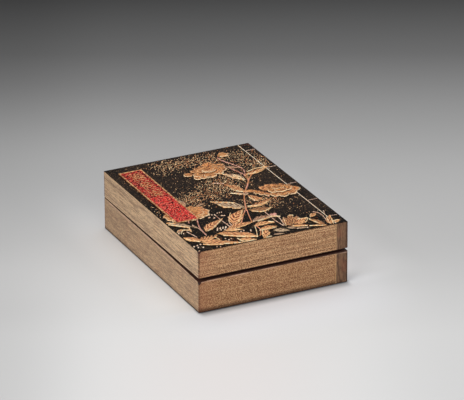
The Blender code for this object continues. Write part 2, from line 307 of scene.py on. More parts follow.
lidSides = dict(
    name="pageGoldLid",
    tail=tone(178, 121, 81),        # short sides
    # the long sides' tone is paler and greyer than the short sides': their gold with a painted sheen
    foreEdgeWithSheen=tone(210, 176, 144),   # long sides
    low=books["seat"],
    high=lidTop,
    streaks=0.36,                   # how strong the page lines are
    endGrain=0.38,                  # how much more grain the short sides have
    wander=1.4 * mm,                # how raggedly the edges are worn
    footLine=-0.1 * mm,             # how far the dark line reaches above the lower edge
    shoulderLine=0.0,               # and below the upper edge, on the short sides
    cornerWear=0.7,
    chipRise=0.1 * mm,              # how far above the upper edge the worn corner's chip is centred
    redness=0.7,                    # how red the worn places are
)
baseSides = dict(
    name="pageGoldBase",
    tail=tone(164, 111, 71),
    # the long sides' tone is paler and greyer than the short sides': their gold with a painted sheen
    foreEdgeWithSheen=tone(183, 150, 120),
    low=0.0,
    high=books["baseHeight"],
    streaks=0.18,
    endGrain=0.28,
    wander=0.3 * mm,
    footLine=0.35 * mm,
    shoulderLine=0.35 * mm,
    cornerWear=0.45,
    chipRise=-0.6 * mm,
    redness=0.3,
)
pageLook = dict(
    dark=tone(84, 50, 30),
    light=tone(246, 210, 160),
    rosy=tone(156, 92, 68),
    strip=tone(142, 106, 78),
    stripDark=tone(92, 66, 50),
    line=tone(206, 170, 122),
    glint=tone(236, 196, 170),
    worn=tone(44, 27, 21),
    wornRed=tone(88, 38, 38),
    shade=tone(70, 42, 30),
)


def levelled(finish, place):
    # undoes the lid's tip, so that heights on it are counted from the level lid
    turn = Matrix.Rotation(tipAngle, 4, "X")
    return finish.moved(place, shift=tuple(backEdge - turn @ backEdge), turn=(tipAngle, 0, 0))


def pageWear(finish, place, onEnds, ragged, look):
    # where the gold is worn off: the lower and upper edges, the upright corners and a chip in the front one
    rise = finish.rise
    x, y, z = finish.split(place)
    foot = look["low"] + look["footLine"]
    wander = (ragged - 0.5) * look["wander"]
    lowWear = rise(z + wander, foot + 0.25 * mm, foot)
    shoulder = z + onEnds * look["shoulderLine"] + (ragged - 0.5) * (0.5 * mm)
    highWear = rise(shoulder, look["high"] - 0.3 * mm, look["high"] - 0.1 * mm)
    reach = halfWidth + halfLength
    corner = rise(abs(x) + abs(y), reach - 1.0 * mm, reach - 0.6 * mm) * rise(ragged, 0.34, 0.52)
    chip = finish.away(place, (-halfWidth, -halfLength, look["high"] + look["chipRise"]))
    chipWear = rise(chip + wander * 0.5, 1.9 * mm, 1.3 * mm)
    return lowWear.larger(highWear).larger(corner * look["cornerWear"]).larger(chipWear)


def pageGold(look):
    # matt sprinkled gold on a book's sides: page streaks, grain, corner strips and worn edges
    finish = Finish(look["name"])
    rise = finish.rise
    onLid = look is lidSides
    place = levelled(finish, finish.coords()) if onLid else finish.coords()
    x, y, z = finish.split(place)
    dark, light, rosy, worn = (pageLook[name] for name in ("dark", "light", "rosy", "worn"))
    onEnds = rise(abs(y), halfLength - 1.0 * mm, halfLength - 0.3 * mm)
    sheaf = finish.drawnOut(place, (9, 9, 1500))
    streak = finish.drawnOut(place, (70, 70, 1700))
    grain = finish.drawnOut(place, (1500, 1500, 3400), roughness=0.6) * onEnds
    grain = grain + finish.drawnOut(place, (1900, 520, 2900), roughness=0.6) * (1 - onEnds)
    patch = finish.noise(place, 110, 3, 0.6)
    ragged = finish.noise(place, 560, 4, 0.7)
    sheafShare = (1.0 - onEnds * 0.1) * look["streaks"]
    streakShare = (1.2 - onEnds * 0.5) * look["streaks"]
    grainShare = onEnds * look["endGrain"] + 0.32
    colour = finish.coats(
        look["foreEdgeWithSheen"],
        (onEnds, look["tail"]),
        (rise(patch, 0.50, 0.66) * 0.18, rosy),
        (rise(sheaf, 0.50, 0.36) * sheafShare, dark),
        (rise(sheaf, 0.50, 0.64) * sheafShare * 0.8, light),
        (rise(streak, 0.50, 0.36) * streakShare, dark),
        (rise(streak, 0.50, 0.64) * streakShare * 0.8, light),
        (rise(grain, 0.50, 0.38) * grainShare, dark),
        (rise(grain, 0.50, 0.62) * grainShare * 0.8, light),
        # a little darker towards the head and the worn corner
        (rise(y, -10 * mm, 70 * mm) * 0.10, dark),
        (rise(x, 14 * mm - halfWidth, -halfWidth) * onEnds * 0.3, rosy),
    )
    if not onLid:
        # dark near the foot of the base
        footShade = rise(z, 3.0 * mm, 0.9 * mm) * (onEnds * 0.4 + 0.28)
        footShade = footShade + rise(z, 1.2 * mm, 0.7 * mm) * (1 - onEnds) * 0.5
        colour = finish.coats(colour, (footShade, pageLook["shade"]))
    # strips of brown cloth at the spine's corners, a little darker on the base, with a pale thread along them
    weave = finish.drawnOut(place, (1800, 1800, 260), 2, 0.7)
    cloth = finish.coats(
        pageLook["stripDark"],
        (rise(weave, 0.36, 0.64), pageLook["strip"]),
        (rise(patch, 0.50, 0.62) * 0.3, rosy),
        (rise(x, halfWidth - 0.9 * mm, halfWidth - 0.4 * mm) * 0.6, worn),
        (0.0 if onLid else 0.12, worn),
    )
    strip = (x > threadX) * (abs(y) > halfLength - books["stripReach"])
    line = rise(abs(x - (threadX - 0.2 * mm)), 0.5 * mm, 0.2 * mm) * onEnds
    colour = finish.coats(colour, (strip, cloth), (line * 0.4, pageLook["line"]))
    high = look["high"]
    if onLid:
        # the long side's upper edge is lighter
        paleUpperBand = rise(z, high - 0.9 * mm, high - 0.5 * mm) * (1 - onEnds)
        colour = finish.coats(colour, (paleUpperBand * 0.35, light))
    else:
        # the gold shines along the shoulder, just under its dark edge
        glint = rise(z, high - 1.4 * mm, high - 1.0 * mm) * rise(patch, 0.34, 0.56)
        colour = finish.coats(colour, (glint * 0.4, pageLook["glint"]))
    wornColour = finish.coats(worn, (rise(patch, 0.40, 0.62) * look["redness"], pageLook["wornRed"]))
    colour = finish.coats(colour, (pageWear(finish, place, onEnds, ragged, look), wornColour))
    return finish.close(Base_Color=colour, Metallic=0.2, Roughness=grain * 0.25 + 0.42,
                        Specular_IOR_Level=0.3, Normal=finish.bump(sheaf * 0.5 + grain * 0.5, 0.4, 0.00012))


lacquerLook = dict(
    black=tone(11, 8, 7),
    blackest=tone(3, 2, 2),
    warm=tone(54, 39, 29),
    patch=tone(92, 34, 34),
    fleck=tone(170, 136, 102),
    gapLitLedge=tone(66, 42, 36),
)


def blackLacquer():
    # near-black lacquer with a brown cast, blackest among the leaves, with faint flecks, a red-brown patch at
    # the spine's far corner, and red-brown between the books, lightened there as painted light in the shaded
    # gap
    finish = Finish("blackLacquer")
    rise = finish.rise
    place = finish.coords()
    x, y, z = finish.split(place)
    cloud = finish.noise(place, 70, 4, 0.6)
    grain = finish.noise(place, 1200, 1, 0.6)
    fleck = finish.noise(place, 1500, 1, 0.5)
    atCorner = (x > threadX) * (y > halfLength - books["stripReach"])
    between = (z > books["baseHeight"] - 1.0 * mm) * (z < books["baseHeight"] + 4.0 * mm)
    colour = finish.coats(
        lacquerLook["black"],
        (rise(cloud, 0.40, 0.70) * 0.35, lacquerLook["warm"]),
        (rise(grain, 0.50, 0.62), lacquerLook["warm"]),
        (atCorner * rise(cloud, 0.40, 0.60) * 0.6, lacquerLook["patch"]),
        (rise(y + x * 0.6, -10 * mm, -26 * mm) * 0.8, lacquerLook["blackest"]),
        (rise(fleck, 0.66, 0.72) * 0.8, lacquerLook["fleck"]),
        # red-brown ledge between the books, lightened as painted light where the gap lies in shade
        (between, lacquerLook["gapLitLedge"]),
    )
    rough = finish.noise(place, 160, 3, 0.6) * 0.2 + 0.3
    return finish.close(Base_Color=colour, Metallic=0.0, Roughness=rough, Specular_IOR_Level=0.05,
                        Normal=finish.bump(grain, 0.08, 0.0001))


# The two books

def onSide(centre, normal):
    # outer side walls, not the walls of the hollow
    outer = abs(centre.x) > halfWidth - 1.3 * mm or abs(centre.y) > halfLength - 1.3 * mm
    return outer and abs(normal.z) < 0.3


def ruleGrooves(piece, heights, depth, halfGroove):
    # page lines: three cuts round the sides for each line, the middle one pressed in
    for height in heights:
        for cut in (height - halfGroove, height, height + halfGroove):
            pick("FACE", onSide)
            bpy.ops.mesh.bisect(plane_co=(0, 0, cut), plane_no=(0, 0, 1))
    reach = halfLength - books["stripReach"]
    for plane, normal in (((threadX - 0.4 * mm, 0, 0), (1, 0, 0)), ((threadX, 0, 0), (1, 0, 0)),
                          ((0, reach, 0), (0, 1, 0)), ((0, reach - 0.4 * mm, 0), (0, 1, 0)),
                          ((0, -reach, 0), (0, 1, 0)), ((0, 0.4 * mm - reach, 0), (0, 1, 0))):
        pick("FACE", lambda centre, facing: onSide(centre, facing) and (normal[0] or centre.x > threadX))
        bpy.ops.mesh.bisect(plane_co=plane, plane_no=normal)

    def inGroove(co):
        if min(abs(co.z - height) for height in heights) > tiny:
            return False
        inStrip = co.x > threadX - tiny and abs(co.y) > reach - tiny
        return not inStrip and (abs(co.x) > halfWidth - 1.0 * mm or abs(co.y) > halfLength - 1.0 * mm)

    pick("VERT", inGroove)
    bpy.ops.transform.shrink_fatten(value=-depth)
    bpy.ops.object.mode_set(mode="OBJECT")


def finishBook(piece, side, ground):
    piece.data.materials.clear()
    piece.data.materials.append(ground)
    piece.data.materials.append(side)
    for face in piece.data.polygons:
        face.material_index = 1 if onSide(face.center, face.normal) else 0
    take(piece)
    bpy.ops.object.shade_smooth_by_angle(angle=math.radians(40))
    applyModifier(piece, "WEIGHTED_NORMAL", weight=80, keep_sharp=True)


def pageHeights(low, high, spacing, seed):
    draw = random.Random(seed)
    heights = []
    height = low
    while height < high:
        heights.append(height)
        height += spacing * draw.uniform(0.7, 1.3)
    return heights


def atOuter(a, b):
    return all(abs(abs(p.x) - halfWidth) < tiny or abs(abs(p.y) - halfLength) < tiny for p in (a, b))


def makeLidShell():
    middle = books["seat"] + books["lidHeight"] / 2
    piece = addBlock("lidShell", (0, 0, middle), (books["width"], books["length"], books["lidHeight"]))
    pick("FACE", lambda centre, normal: normal.z < -0.9)
    bpy.ops.mesh.inset(thickness=books["wall"])
    hollow = (0, 0, books["lidHeight"] - books["roof"])
    bpy.ops.mesh.extrude_region_move(TRANSFORM_OT_translate={"value": hollow})
    bpy.ops.object.mode_set(mode="OBJECT")

    def share(a, b):
        if abs(a.z - b.z) > tiny:
            if atOuter(a, b):
                return 1.0 if min(a.x, a.y) > 0 else books["upright"] / books["corner"]
            return books["innerCorner"] / books["corner"]
        if abs(a.z - lidTop) < tiny:
            return books["upright" if min(a.x, b.x) > 0 else "edge"] / books["corner"]
        if abs(a.z - books["seat"]) < tiny and (abs(a.x - b.x) < tiny or abs(a.y - b.y) < tiny):
            return books["mouthEdge"] / books["corner"]
        return 0.0

    roundEdges(piece, books["corner"], 4, share)
    heights = pageHeights(books["seat"] + 1.2 * mm, lidTop - 1.2 * mm, 1.15 * mm, 4)
    ruleGrooves(piece, heights, 0.035 * mm, 0.16 * mm)
    finishBook(piece, pageGold(lidSides), lacquer)
    tipLid(piece)
    return piece


def makeBaseShell():
    height = books["baseHeight"]
    piece = addBlock("baseShell", (0, 0, height / 2), (books["width"], books["length"], height))
    for plane, normal in (((books["wearAlongTail"] - halfWidth, 0, 0), (1, 0, 0)),
                          ((0, books["wearAlongForeEdge"] - halfLength, 0), (0, 1, 0))):
        pick("FACE", lambda centre, facing: True)
        bpy.ops.mesh.bisect(plane_co=plane, plane_no=normal)
    inset = books["wall"] + books["riserGap"]
    riserTop = baseHigh.z
    pick("FACE", lambda centre, normal: normal.z > 0.9)
    bpy.ops.mesh.inset(thickness=inset)
    bpy.ops.mesh.extrude_region_move(TRANSFORM_OT_translate={"value": (0, 0, riserTop - height)})
    bpy.ops.mesh.inset(thickness=books["riserWall"])
    bpy.ops.mesh.extrude_region_move(TRANSFORM_OT_translate={"value": (0, 0, books["floor"] - riserTop)})
    pick("VERT", lambda co: (co - Vector((-halfWidth, -halfLength, height))).length < tiny)
    bpy.ops.transform.translate(value=(0, 0, -books["wearDepth"]))
    bpy.ops.object.mode_set(mode="OBJECT")

    def share(a, b):
        upright = abs(a.x - b.x) < tiny and abs(a.y - b.y) < tiny
        if atOuter(a, b):
            if upright:
                corner = abs(abs(a.x) - halfWidth) < tiny and abs(abs(a.y) - halfLength) < tiny
                return books["upright"] / books["corner"] if corner else 0.0
            if max(a.z, b.z) < tiny:
                return books["edge"] / books["corner"]
            return books["shoulderEdge"] / books["corner"]
        if upright:
            across = abs(a.x) > halfWidth - 5 * mm and abs(a.y) > halfLength - 5 * mm
            return books["innerCorner"] / books["corner"] if across else 0.0
        if abs(a.z - riserTop) < tiny and abs(b.z - riserTop) < tiny:
            alongX = abs(a.y - b.y) < tiny and abs(a.y) > halfLength - 5 * mm
            alongY = abs(a.x - b.x) < tiny and abs(a.x) > halfWidth - 5 * mm
            return books["shoulderEdge"] / books["corner"] if alongX or alongY else 0.0
        return 0.0

    roundEdges(piece, books["corner"], 4, share)
    heights = pageHeights(1.6 * mm, height - 1.6 * mm, 1.3 * mm, 9)
    ruleGrooves(piece, heights, 0.015 * mm, 0.16 * mm)
    finishBook(piece, pageGold(baseSides), lacquer)
    return piece


lacquer = blackLacquer()
baseShell = makeBaseShell()
lidShell = makeLidShell()
print("books:", len(baseShell.data.polygons), "and", len(lidShell.data.polygons), "faces")


# Finishes of the ornament

goldSurface = dict(metallic=0.2, roughness=0.42, smallRoughness=0.45, specular=0.2, grainDepth=0.0001)
leafLook = dict(
    name="leafGold",
    copper=tone(242, 118, 58),
    second=tone(230, 128, 70),
    tan=tone(134, 84, 44),
    deep=tone(106, 42, 20),
    light=tone(255, 204, 144),
    bright=tone(255, 158, 88),
    sparkle=0.25,
)
paleLook = dict(
    name="paleLeaf",
    copper=tone(156, 120, 86),
    second=tone(230, 128, 70),
    tan=tone(180, 128, 102),
    deep=tone(70, 48, 34),
    light=tone(226, 196, 160),
    bright=tone(230, 128, 70),
    sparkle=0.35,
)
petalLook = dict(
    copper=tone(218, 128, 66),
    tan=tone(206, 142, 88),
    peach=tone(224, 150, 104),
    olive=tone(176, 128, 52),
    bright=tone(252, 176, 108),
    deep=tone(92, 46, 22),
    cream=tone(255, 224, 180),
)
# dark outline round the raised gold, painted shade where it meets the ground
shadeOutline = tone(30, 16, 10)


def closeGold(finish, colour, roughness, height, strength):
    return finish.close(Base_Color=colour, Metallic=goldSurface["metallic"], Roughness=roughness,
                        Specular_IOR_Level=goldSurface["specular"],
                        Normal=finish.bump(height, strength, goldSurface["grainDepth"]))


def leafGold(look):
    # leaves, read from each one's own map: u along it, v across it; slanting veins and pale rims
    finish = Finish(look["name"])
    rise = finish.rise
    u, v, unused = finish.split(finish.coords("UV"))
    place = finish.coords()
    tan = finish.marked("tan")
    aside = abs(v - 0.5) * 2
    drift = finish.noise(place, 75, 2, 0.5)
    blotch = finish.noise(place, 900, 3, 0.7)
    speckle = finish.noise(place, 1400, 1, 0.5)
    slanted = ((u * finish.marked("veins") - aside * 1.6 + blotch * 0.5) * (2 * math.pi)).wave()
    # pale rims, the one on the leaf's right brighter as a painted highlight, and both end in a dark line of
    # painted shade
    border = rise(aside + (blotch - 0.5) * 0.5, 0.66, 0.80) * (rise(v, 0.7, 0.3) * 0.7 + 0.25)
    colour = finish.coats(
        look["copper"],
        (rise(drift, 0.42, 0.58), look["second"]),
        (tan, look["tan"]),
        (rise(blotch, 0.46, 0.36) * look["sparkle"], look["light"]),
        (rise(speckle, 0.48, 0.36) * (0.5 - tan * 0.4), look["bright"]),
        (rise(slanted, -0.1, -0.5) * (1 - tan * 0.8), look["light"]),
        (rise(slanted, 0.2, 0.6), look["deep"]),
        (rise(speckle, 0.54, 0.64) * (0.4 - tan * 0.2), look["deep"]),
        (rise(aside, 0.15, 0.05) * rise(u, 0.98, 0.8) * 0.3, look["light"]),
        (border, look["light"]),
        (rise(aside, 0.90, 0.97) * 0.9, shadeOutline),
    )
    return closeGold(finish, colour, goldSurface["roughness"], blotch, 0.3)


def petalGold():
    # petals: fine lines that run out from the heart, with painted shade darker towards it; pale rims with a
    # painted highlight, and hearts, as each is marked
    finish = Finish("petalGold")
    rise = finish.rise
    u, v, unused = finish.split(finish.coords("UV"))
    place = finish.coords()
    # how much painted shade the folds and the heart get
    shadeShare = 1 - finish.marked("calm") * 0.7
    aside = abs(v - 0.5) * 2
    drift = finish.noise(place, 130, 2, 0.5)
    blotch = finish.noise(place, 1000, 3, 0.7)
    speckle = finish.noise(place, 1400, 1, 0.5)
    lines = finish.drawnOut(finish.coords("UV"), (1.5, 11, 1), 2, 0.6)
    # folds that follow the rim, painted in highlight and shade as if more petals lay on one another
    folds = ((u * 2.6 + (drift - 0.5) * 4 + (lines - 0.5) * 1.4) * (2 * math.pi)).wave()
    border = rise(u + (blotch - 0.5) * 0.2, 0.86, 0.93).larger(rise(aside, 0.88, 0.97) * rise(u, 0.35, 0.6))
    bright, deep = petalLook["bright"], petalLook["deep"]
    colour = finish.coats(
        petalLook["copper"],
        (rise(drift, 0.44, 0.56), petalLook["tan"]),
        (rise(drift, 0.46, 0.36) * 0.7, petalLook["peach"]),
        (rise(blotch, 0.40, 0.56) * finish.marked("olive"), petalLook["olive"]),
        (rise(speckle, 0.49, 0.39) * 0.7, bright),
        (rise(folds, -0.2, -0.7) * 0.7, bright),
        (rise(folds, 0.3, 0.7) * shadeShare * 0.85, deep),
        (rise(lines, 0.50, 0.60) * 0.75, deep),
        (rise(lines, 0.46, 0.38) * 0.4, bright),
        # painted shade towards the heart, where the petals above would shade it
        (rise(u, 0.45, 0.20) * shadeShare * 0.7, deep),
        (rise(speckle, 0.53, 0.62) * 0.3, deep),
        (border * finish.marked("rim"), petalLook["cream"]),
    )
    return closeGold(finish, colour, goldSurface["roughness"], lines * 0.6 + blotch * 0.4, 0.3)


def mottled(name, first, second, scale):
    # small raised things: stems, thread, borders, berries and flakes, each a mottle of two tones
    finish = Finish(name)
    mottle = finish.noise(finish.coords(), scale, 2, 0.6)
    colour = finish.coats(tone(*first), (finish.rise(mottle, 0.40, 0.60), tone(*second)))
    return closeGold(finish, colour, goldSurface["smallRoughness"], mottle, 0.2)


labelLook = dict(
    clouds=((-31.5, 43.6), (-31.8, 31.4), (-31.8, 18.6)),   # middles of the golden clouds, in mm
    cloudReach=(4.6, 2.8),                                  # where they start and are full, in mm
    red=tone(196, 26, 28),
    pale=tone(206, 54, 54),
    dark=tone(60, 5, 5),
    dust=tone(248, 130, 104),
    brown=tone(138, 14, 6),
    gold=tone(206, 140, 78),
    cream=tone(252, 190, 132),
)


def redLacquer():
    # red ground of the label, browner in its head, speckled with gold dust and dark pits, with golden clouds
    finish = Finish("redLacquer")
    rise = finish.rise
    place = levelled(finish, finish.coords())
    head = rise(finish.split(place)[1], 10 * mm, 18 * mm)
    speck = finish.noise(place, 900, 1, 0.6)
    dust = finish.noise(place, 1000, 1, 0.6)
    patch = finish.noise(place, 160, 3, 0.6)
    first, second, third = [finish.away(place, (across * mm, along * mm, lidTop))
                            for across, along in labelLook["clouds"]]
    near = first.smaller(second).smaller(third)
    start, full = labelLook["cloudReach"]
    golden = rise(near + (patch - 0.5) * (6 * mm), start * mm, full * mm)
    sparks = finish.coats(labelLook["dust"], (golden, labelLook["cream"]))
    colour = finish.coats(
        labelLook["red"],
        (rise(patch, 0.40, 0.62), labelLook["pale"]),
        (head * 0.7, labelLook["brown"]),
        (golden * 0.1, labelLook["gold"]),
        (rise(speck, 0.51, 0.46), labelLook["dark"]),
        (rise(dust - head * 0.02, 0.54, 0.58) * 0.8, sparks),
    )
    return finish.close(Base_Color=colour, Metallic=0.0, Roughness=0.5, Specular_IOR_Level=0.08,
                        Normal=finish.bump(speck, 0.35, 0.0001))


finishes = dict(
    petal=petalGold(),
    leaf=leafGold(leafLook),
    pale=leafGold(paleLook),
    red=redLacquer(),
    ridge=mottled("ridgeCream", (255, 238, 196), (244, 182, 122), 700),
    stem=mottled("stemCopper", (238, 168, 140), (212, 140, 92), 240),
    rosyStem=mottled("stemRose", (232, 174, 156), (168, 108, 88), 500),
    twig=mottled("twigCream", (252, 220, 194), (176, 132, 108), 900),
    berry=mottled("berryCream", (255, 232, 206), (214, 164, 130), 900),
    thread=mottled("threadGold", (255, 246, 222), (236, 206, 172), 700),
    stitch=mottled("stitchGold", (240, 208, 184), (180, 148, 132), 500),
    border=mottled("borderGold", (232, 176, 122), (146, 92, 58), 700),
    stroke=mottled("strokeGold", (234, 168, 116), (126, 62, 38), 900),
    dust=mottled("dustGold", (255, 220, 170), (206, 132, 84), 700),
    # dark brown for the relief's cut edges and the gaps, painted shade round and between the raised gold
    edge=mottled("shadeOutlineBrown", (30, 16, 10), (92, 46, 22), 400),
)


# The flower sheet on the lid's top, in millimetres from the corner of tail and fore-edge

sheet = dict(width=89.0, length=121.6, margin=0.5)


def spreadSheet(places, rises):
    # sheet places (n, 2) and rises, both in mm, as points on the level lid
    u = np.clip(places[:, 0], sheet["margin"], sheet["width"] - sheet["margin"])
    v = np.clip(places[:, 1], sheet["margin"], sheet["length"] - sheet["margin"])
    points = np.empty((len(places), 3))
    points[:, 0] = (u / sheet["width"] - 0.5) * books["width"]
    points[:, 1] = (v / sheet["length"] - 0.5) * books["length"]
    points[:, 2] = lidTop + rises * mm
    return points


def verticesOf(piece):
    flat = np.empty(len(piece.data.vertices) * 3)
    piece.data.vertices.foreach_get("co", flat)
    return flat.reshape(-1, 3)


def settle(piece, points):
    piece.data.vertices.foreach_set("co", points.reshape(-1))
    piece.data.update()


def copyOf(master, name):
    piece = master.copy()
    piece.data = master.data.copy()
    piece.name = name
    bpy.context.scene.collection.objects.link(piece)
    return piece


relief = dict(sunk=0.35, leafRise=0.42, petalRise=0.2, stemRise=0.34, ridgeLift=0.3, petalLobes=3,
              berryRise=0.34, gapRise=0.62,
              # what their height adds to where they seem, for beads as a share of it
              leafShift=(-0.35, -0.7), petalShift=(-0.45, -0.9), ridgeShift=(-0.4, -0.8),
              beadShift=(0.6, 1.3))
leafRibs = ([0.0, 0.08, 0.25, 0.40, 0.46, 0.5], [1.0, 0.60, 0.72, 0.66, 0.72, 0.2])
petalRibs = ([0.0, 0.1, 0.2, 0.3, 0.4, 0.5], [0.9, 0.4, 0.85, 0.4, 0.8, 0.3])


def makeStrip(name, stations, rows, ribs, veins, veinRise):
    # flat strip, 0 to 1 along X and -0.5 to 0.5 across Y, with ribs along it and slanting veins
    clearSelection()
    bpy.ops.mesh.primitive_grid_add(x_subdivisions=stations, y_subdivisions=rows, size=1,
                                    location=(0.5, 0, 0))
    bpy.ops.object.transform_apply(location=True)
    for row in range(rows + 1):
        across = row / rows - 0.5
        pick("VERT", lambda co: abs(co.y - across) < 0.001)
        bpy.ops.transform.translate(value=(0, 0, float(np.interp(abs(across), *ribs))))
    if veins:
        def onVein(co):
            aside = round(abs(co.y) * rows)
            return (round(co.x * stations) - aside) % veins == 0 and 0 < abs(co.y) < 0.45
        pick("VERT", onVein)
        bpy.ops.transform.translate(value=(0, 0, veinRise))
    piece = done(name)
    bpy.ops.object.shade_smooth()
    return piece


leafMaster = makeStrip("leafMaster", 20, 10, leafRibs, 4, 0.16)
petalMaster = makeStrip("petalMaster", 12, 20, petalRibs, 0, 0.0)


def framed(start, end):
    # start, unit vector ahead, unit vector to its left, and length
    start = np.array(start, dtype=float)
    run = np.array(end, dtype=float) - start
    length = np.linalg.norm(run)
    ahead = run / length
    return start, ahead, np.array((-ahead[1], ahead[0])), length


def mark(piece, **values):
    # the same value on all of a piece's vertices, for its finish to read
    for name, value in values.items():
        layer = piece.data.attributes.new(name, "FLOAT", "POINT")
        layer.data.foreach_set("value", np.full(len(piece.data.vertices), float(value)))


def layLeaf(row, lift):
    # leaf from foot to tip, with a bend to its left, broadest where belly puts it and a little toothed
    footU, footV, tipU, tipV, breadth, bend, belly, tan = row
    foot, ahead, side, length = framed((footU, footV), (tipU, tipV))
    piece = copyOf(leafMaster, "leaf")
    unit = verticesOf(piece)
    mark(piece, tan=tan, veins=max(length / (2.1 + 2.3 * abs(ahead[1])), 2.5))
    along = unit[:, 0]
    taper = np.maximum(np.sin(math.pi * along ** belly), 0.0) ** 1.3
    teeth = 1 + 0.12 * np.cos(2 * math.pi * 5 * along)
    drift = bend * np.sin(math.pi * along) + unit[:, 1] * breadth * taper * teeth
    places = foot + relief["leafShift"] + np.outer(along * length, ahead) + np.outer(drift, side)
    rises = lift + relief["leafRise"] * unit[:, 2] * (0.35 + 0.65 * taper)
    settle(piece, spreadSheet(places, rises))
    return piece


def layPetal(row, olive, calm):
    # petal from root to tip, like a scallop shell: broad shoulders, a lobed rim that curls up
    rootU, rootV, tipU, tipV, breadth, lift = row
    root, ahead, side, length = framed((rootU, rootV), (tipU, tipV))
    piece = copyOf(petalMaster, "petal")
    unit = verticesOf(piece)
    # petals that point to the tail get a brighter pale rim, a painted highlight; the high ones round the
    # heart are the olive ones
    mark(piece, rim=min(max(0.55 - ahead[1] * 0.5, 0.15), 0.9), olive=olive * (lift > 0.4), calm=calm)
    along = unit[:, 0]
    aside = unit[:, 1] * 2
    lobed = 1 - 0.07 * (1 - np.abs(np.cos(math.pi * relief["petalLobes"] * aside / 2))) * along
    forward = length * along * (1 - 0.36 * np.abs(aside) ** 2.2) * lobed
    sideways = breadth / 2 * aside * (0.2 + 0.8 * along ** 0.7) * (1 - 0.1 * along ** 6)
    places = root + relief["petalShift"] + np.outer(forward, ahead) + np.outer(sideways, side)
    curl = 0.14 * along ** 3 - 2.4 * np.maximum(along - 0.92, 0)
    rises = lift + relief["petalRise"] * unit[:, 2] * along + curl
    settle(piece, spreadSheet(places, rises))
    return piece


upperPeony = (
    # root u, v, tip u, v, breadth, lift: the hood and back petals, the front ones, then those round the heart
    (52.6, 95.6, 57.2, 107.4, 9.6, 0.20),
    (55.0, 96.0, 63.2, 101.6, 8.6, 0.22),
    (51.0, 96.0, 50.2, 104.4, 6.0, 0.24),
    (49.6, 96.0, 46.2, 102.6, 5.4, 0.26),
    (48.0, 95.6, 42.4, 100.2, 5.0, 0.28),
    (42.6, 97.0, 36.8, 95.0, 6.0, 0.16),
    (54.6, 96.6, 62.6, 94.0, 8.0, 0.28),
    (54.0, 95.0, 58.4, 89.8, 6.6, 0.26),
    (46.4, 93.6, 40.4, 87.4, 5.8, 0.24),
    (48.4, 95.2, 41.2, 92.0, 6.0, 0.28),
    (47.8, 94.2, 44.8, 86.6, 5.2, 0.30),
    (50.6, 94.8, 50.2, 86.2, 8.4, 0.34),
    (51.6, 95.0, 51.4, 101.6, 8.6, 0.42),
    (53.0, 95.4, 59.0, 98.8, 6.0, 0.44),
    (50.6, 95.4, 45.4, 98.2, 5.4, 0.44),
    (52.2, 98.6, 51.8, 93.0, 9.6, 0.54),
    (51.8, 98.0, 49.2, 95.2, 5.0, 0.62),
    (52.8, 98.0, 55.0, 95.6, 5.0, 0.62),
)
sidePeony = (
    (65.4, 58.6, 57.0, 62.0, 3.8, 0.14),
    (66.6, 57.4, 60.6, 57.2, 4.4, 0.18),
    (67.8, 56.0, 62.4, 53.6, 4.4, 0.20),
    (69.2, 54.6, 65.2, 51.0, 4.4, 0.22),
    (74.0, 55.6, 66.6, 63.4, 7.0, 0.22),
    (75.0, 55.6, 71.0, 65.0, 6.8, 0.24),
    (76.0, 55.6, 75.2, 64.2, 6.8, 0.24),
    (77.4, 55.6, 79.4, 62.8, 6.8, 0.26),
    (79.0, 55.0, 83.4, 59.0, 6.4, 0.26),
    (79.4, 54.0, 86.8, 51.8, 7.2, 0.24),
    (73.4, 54.4, 68.8, 47.4, 6.4, 0.26),
    (75.4, 53.6, 73.8, 44.8, 7.0, 0.30),
    (78.4, 53.2, 80.8, 46.0, 8.0, 0.28),
    (74.8, 56.0, 69.8, 60.8, 6.0, 0.42),
    (75.8, 56.0, 74.2, 62.0, 5.8, 0.44),
    (76.8, 56.0, 79.0, 60.6, 5.8, 0.44),
    (74.4, 58.2, 69.4, 52.8, 7.0, 0.46),
    (77.6, 57.8, 81.6, 52.4, 7.2, 0.48),
    (76.0, 58.2, 75.4, 50.8, 8.0, 0.52),
    (75.2, 58.8, 73.0, 56.0, 4.4, 0.60),
    (76.6, 58.8, 78.4, 56.0, 4.4, 0.60),
)
labelPeony = (
    (20.0, 48.5, 29.4, 47.2, 8.4, 0.12),
    (20.0, 49.0, 27.6, 53.8, 7.6, 0.14),
    (19.5, 49.0, 22.4, 57.0, 7.2, 0.16),
    (20.0, 47.5, 27.0, 41.8, 7.8, 0.16),
    (17.0, 46.0, 22.6, 39.8, 7.2, 0.10),
    (14.5, 46.0, 17.4, 39.0, 7.2, 0.10),
    (12.0, 46.0, 11.6, 39.2, 7.2, 0.10),
    (10.0, 46.0, 6.2, 40.2, 7.0, 0.10),
    (9.0, 47.5, 3.0, 45.2, 6.2, 0.10),
    (9.0, 49.0, 2.8, 50.4, 6.2, 0.10),
    (20.4, 48.4, 26.0, 50.2, 6.0, 0.26),
    (20.4, 47.8, 25.2, 45.0, 6.0, 0.28),
    (19.8, 48.0, 22.2, 53.2, 5.4, 0.28),
)
openBud = (
    (66.4, 113.2, 70.4, 115.6, 3.6, 0.20),
    (65.4, 112.2, 71.8, 110.8, 4.0, 0.26),
    (65.4, 112.6, 72.0, 113.2, 4.6, 0.34),
    (65.8, 112.4, 69.0, 112.4, 2.8, 0.44),
)
pinkBud = (
    (57.2, 24.6, 56.4, 28.6, 2.4, 0.16),
    (57.4, 24.6, 59.2, 28.4, 2.4, 0.22),
    (57.4, 24.8, 57.8, 27.6, 1.8, 0.32),
)


def thicken(piece):
    # gives the sheets of petals or leaves their thickness; their cut edges take the second finish, a dark
    # brown of painted shade
    piece.data.materials.clear()
    for slot in range(2):
        piece.data.materials.append(None)
    applyModifier(piece, "SOLIDIFY", thickness=relief["sunk"] * mm, offset=-1.0, material_offset_rim=1)
    return piece


def makeBlossom(name, rows, olive, calm):
    return thicken(joinAll(name, [layPetal(row, olive, calm) for row in rows]))


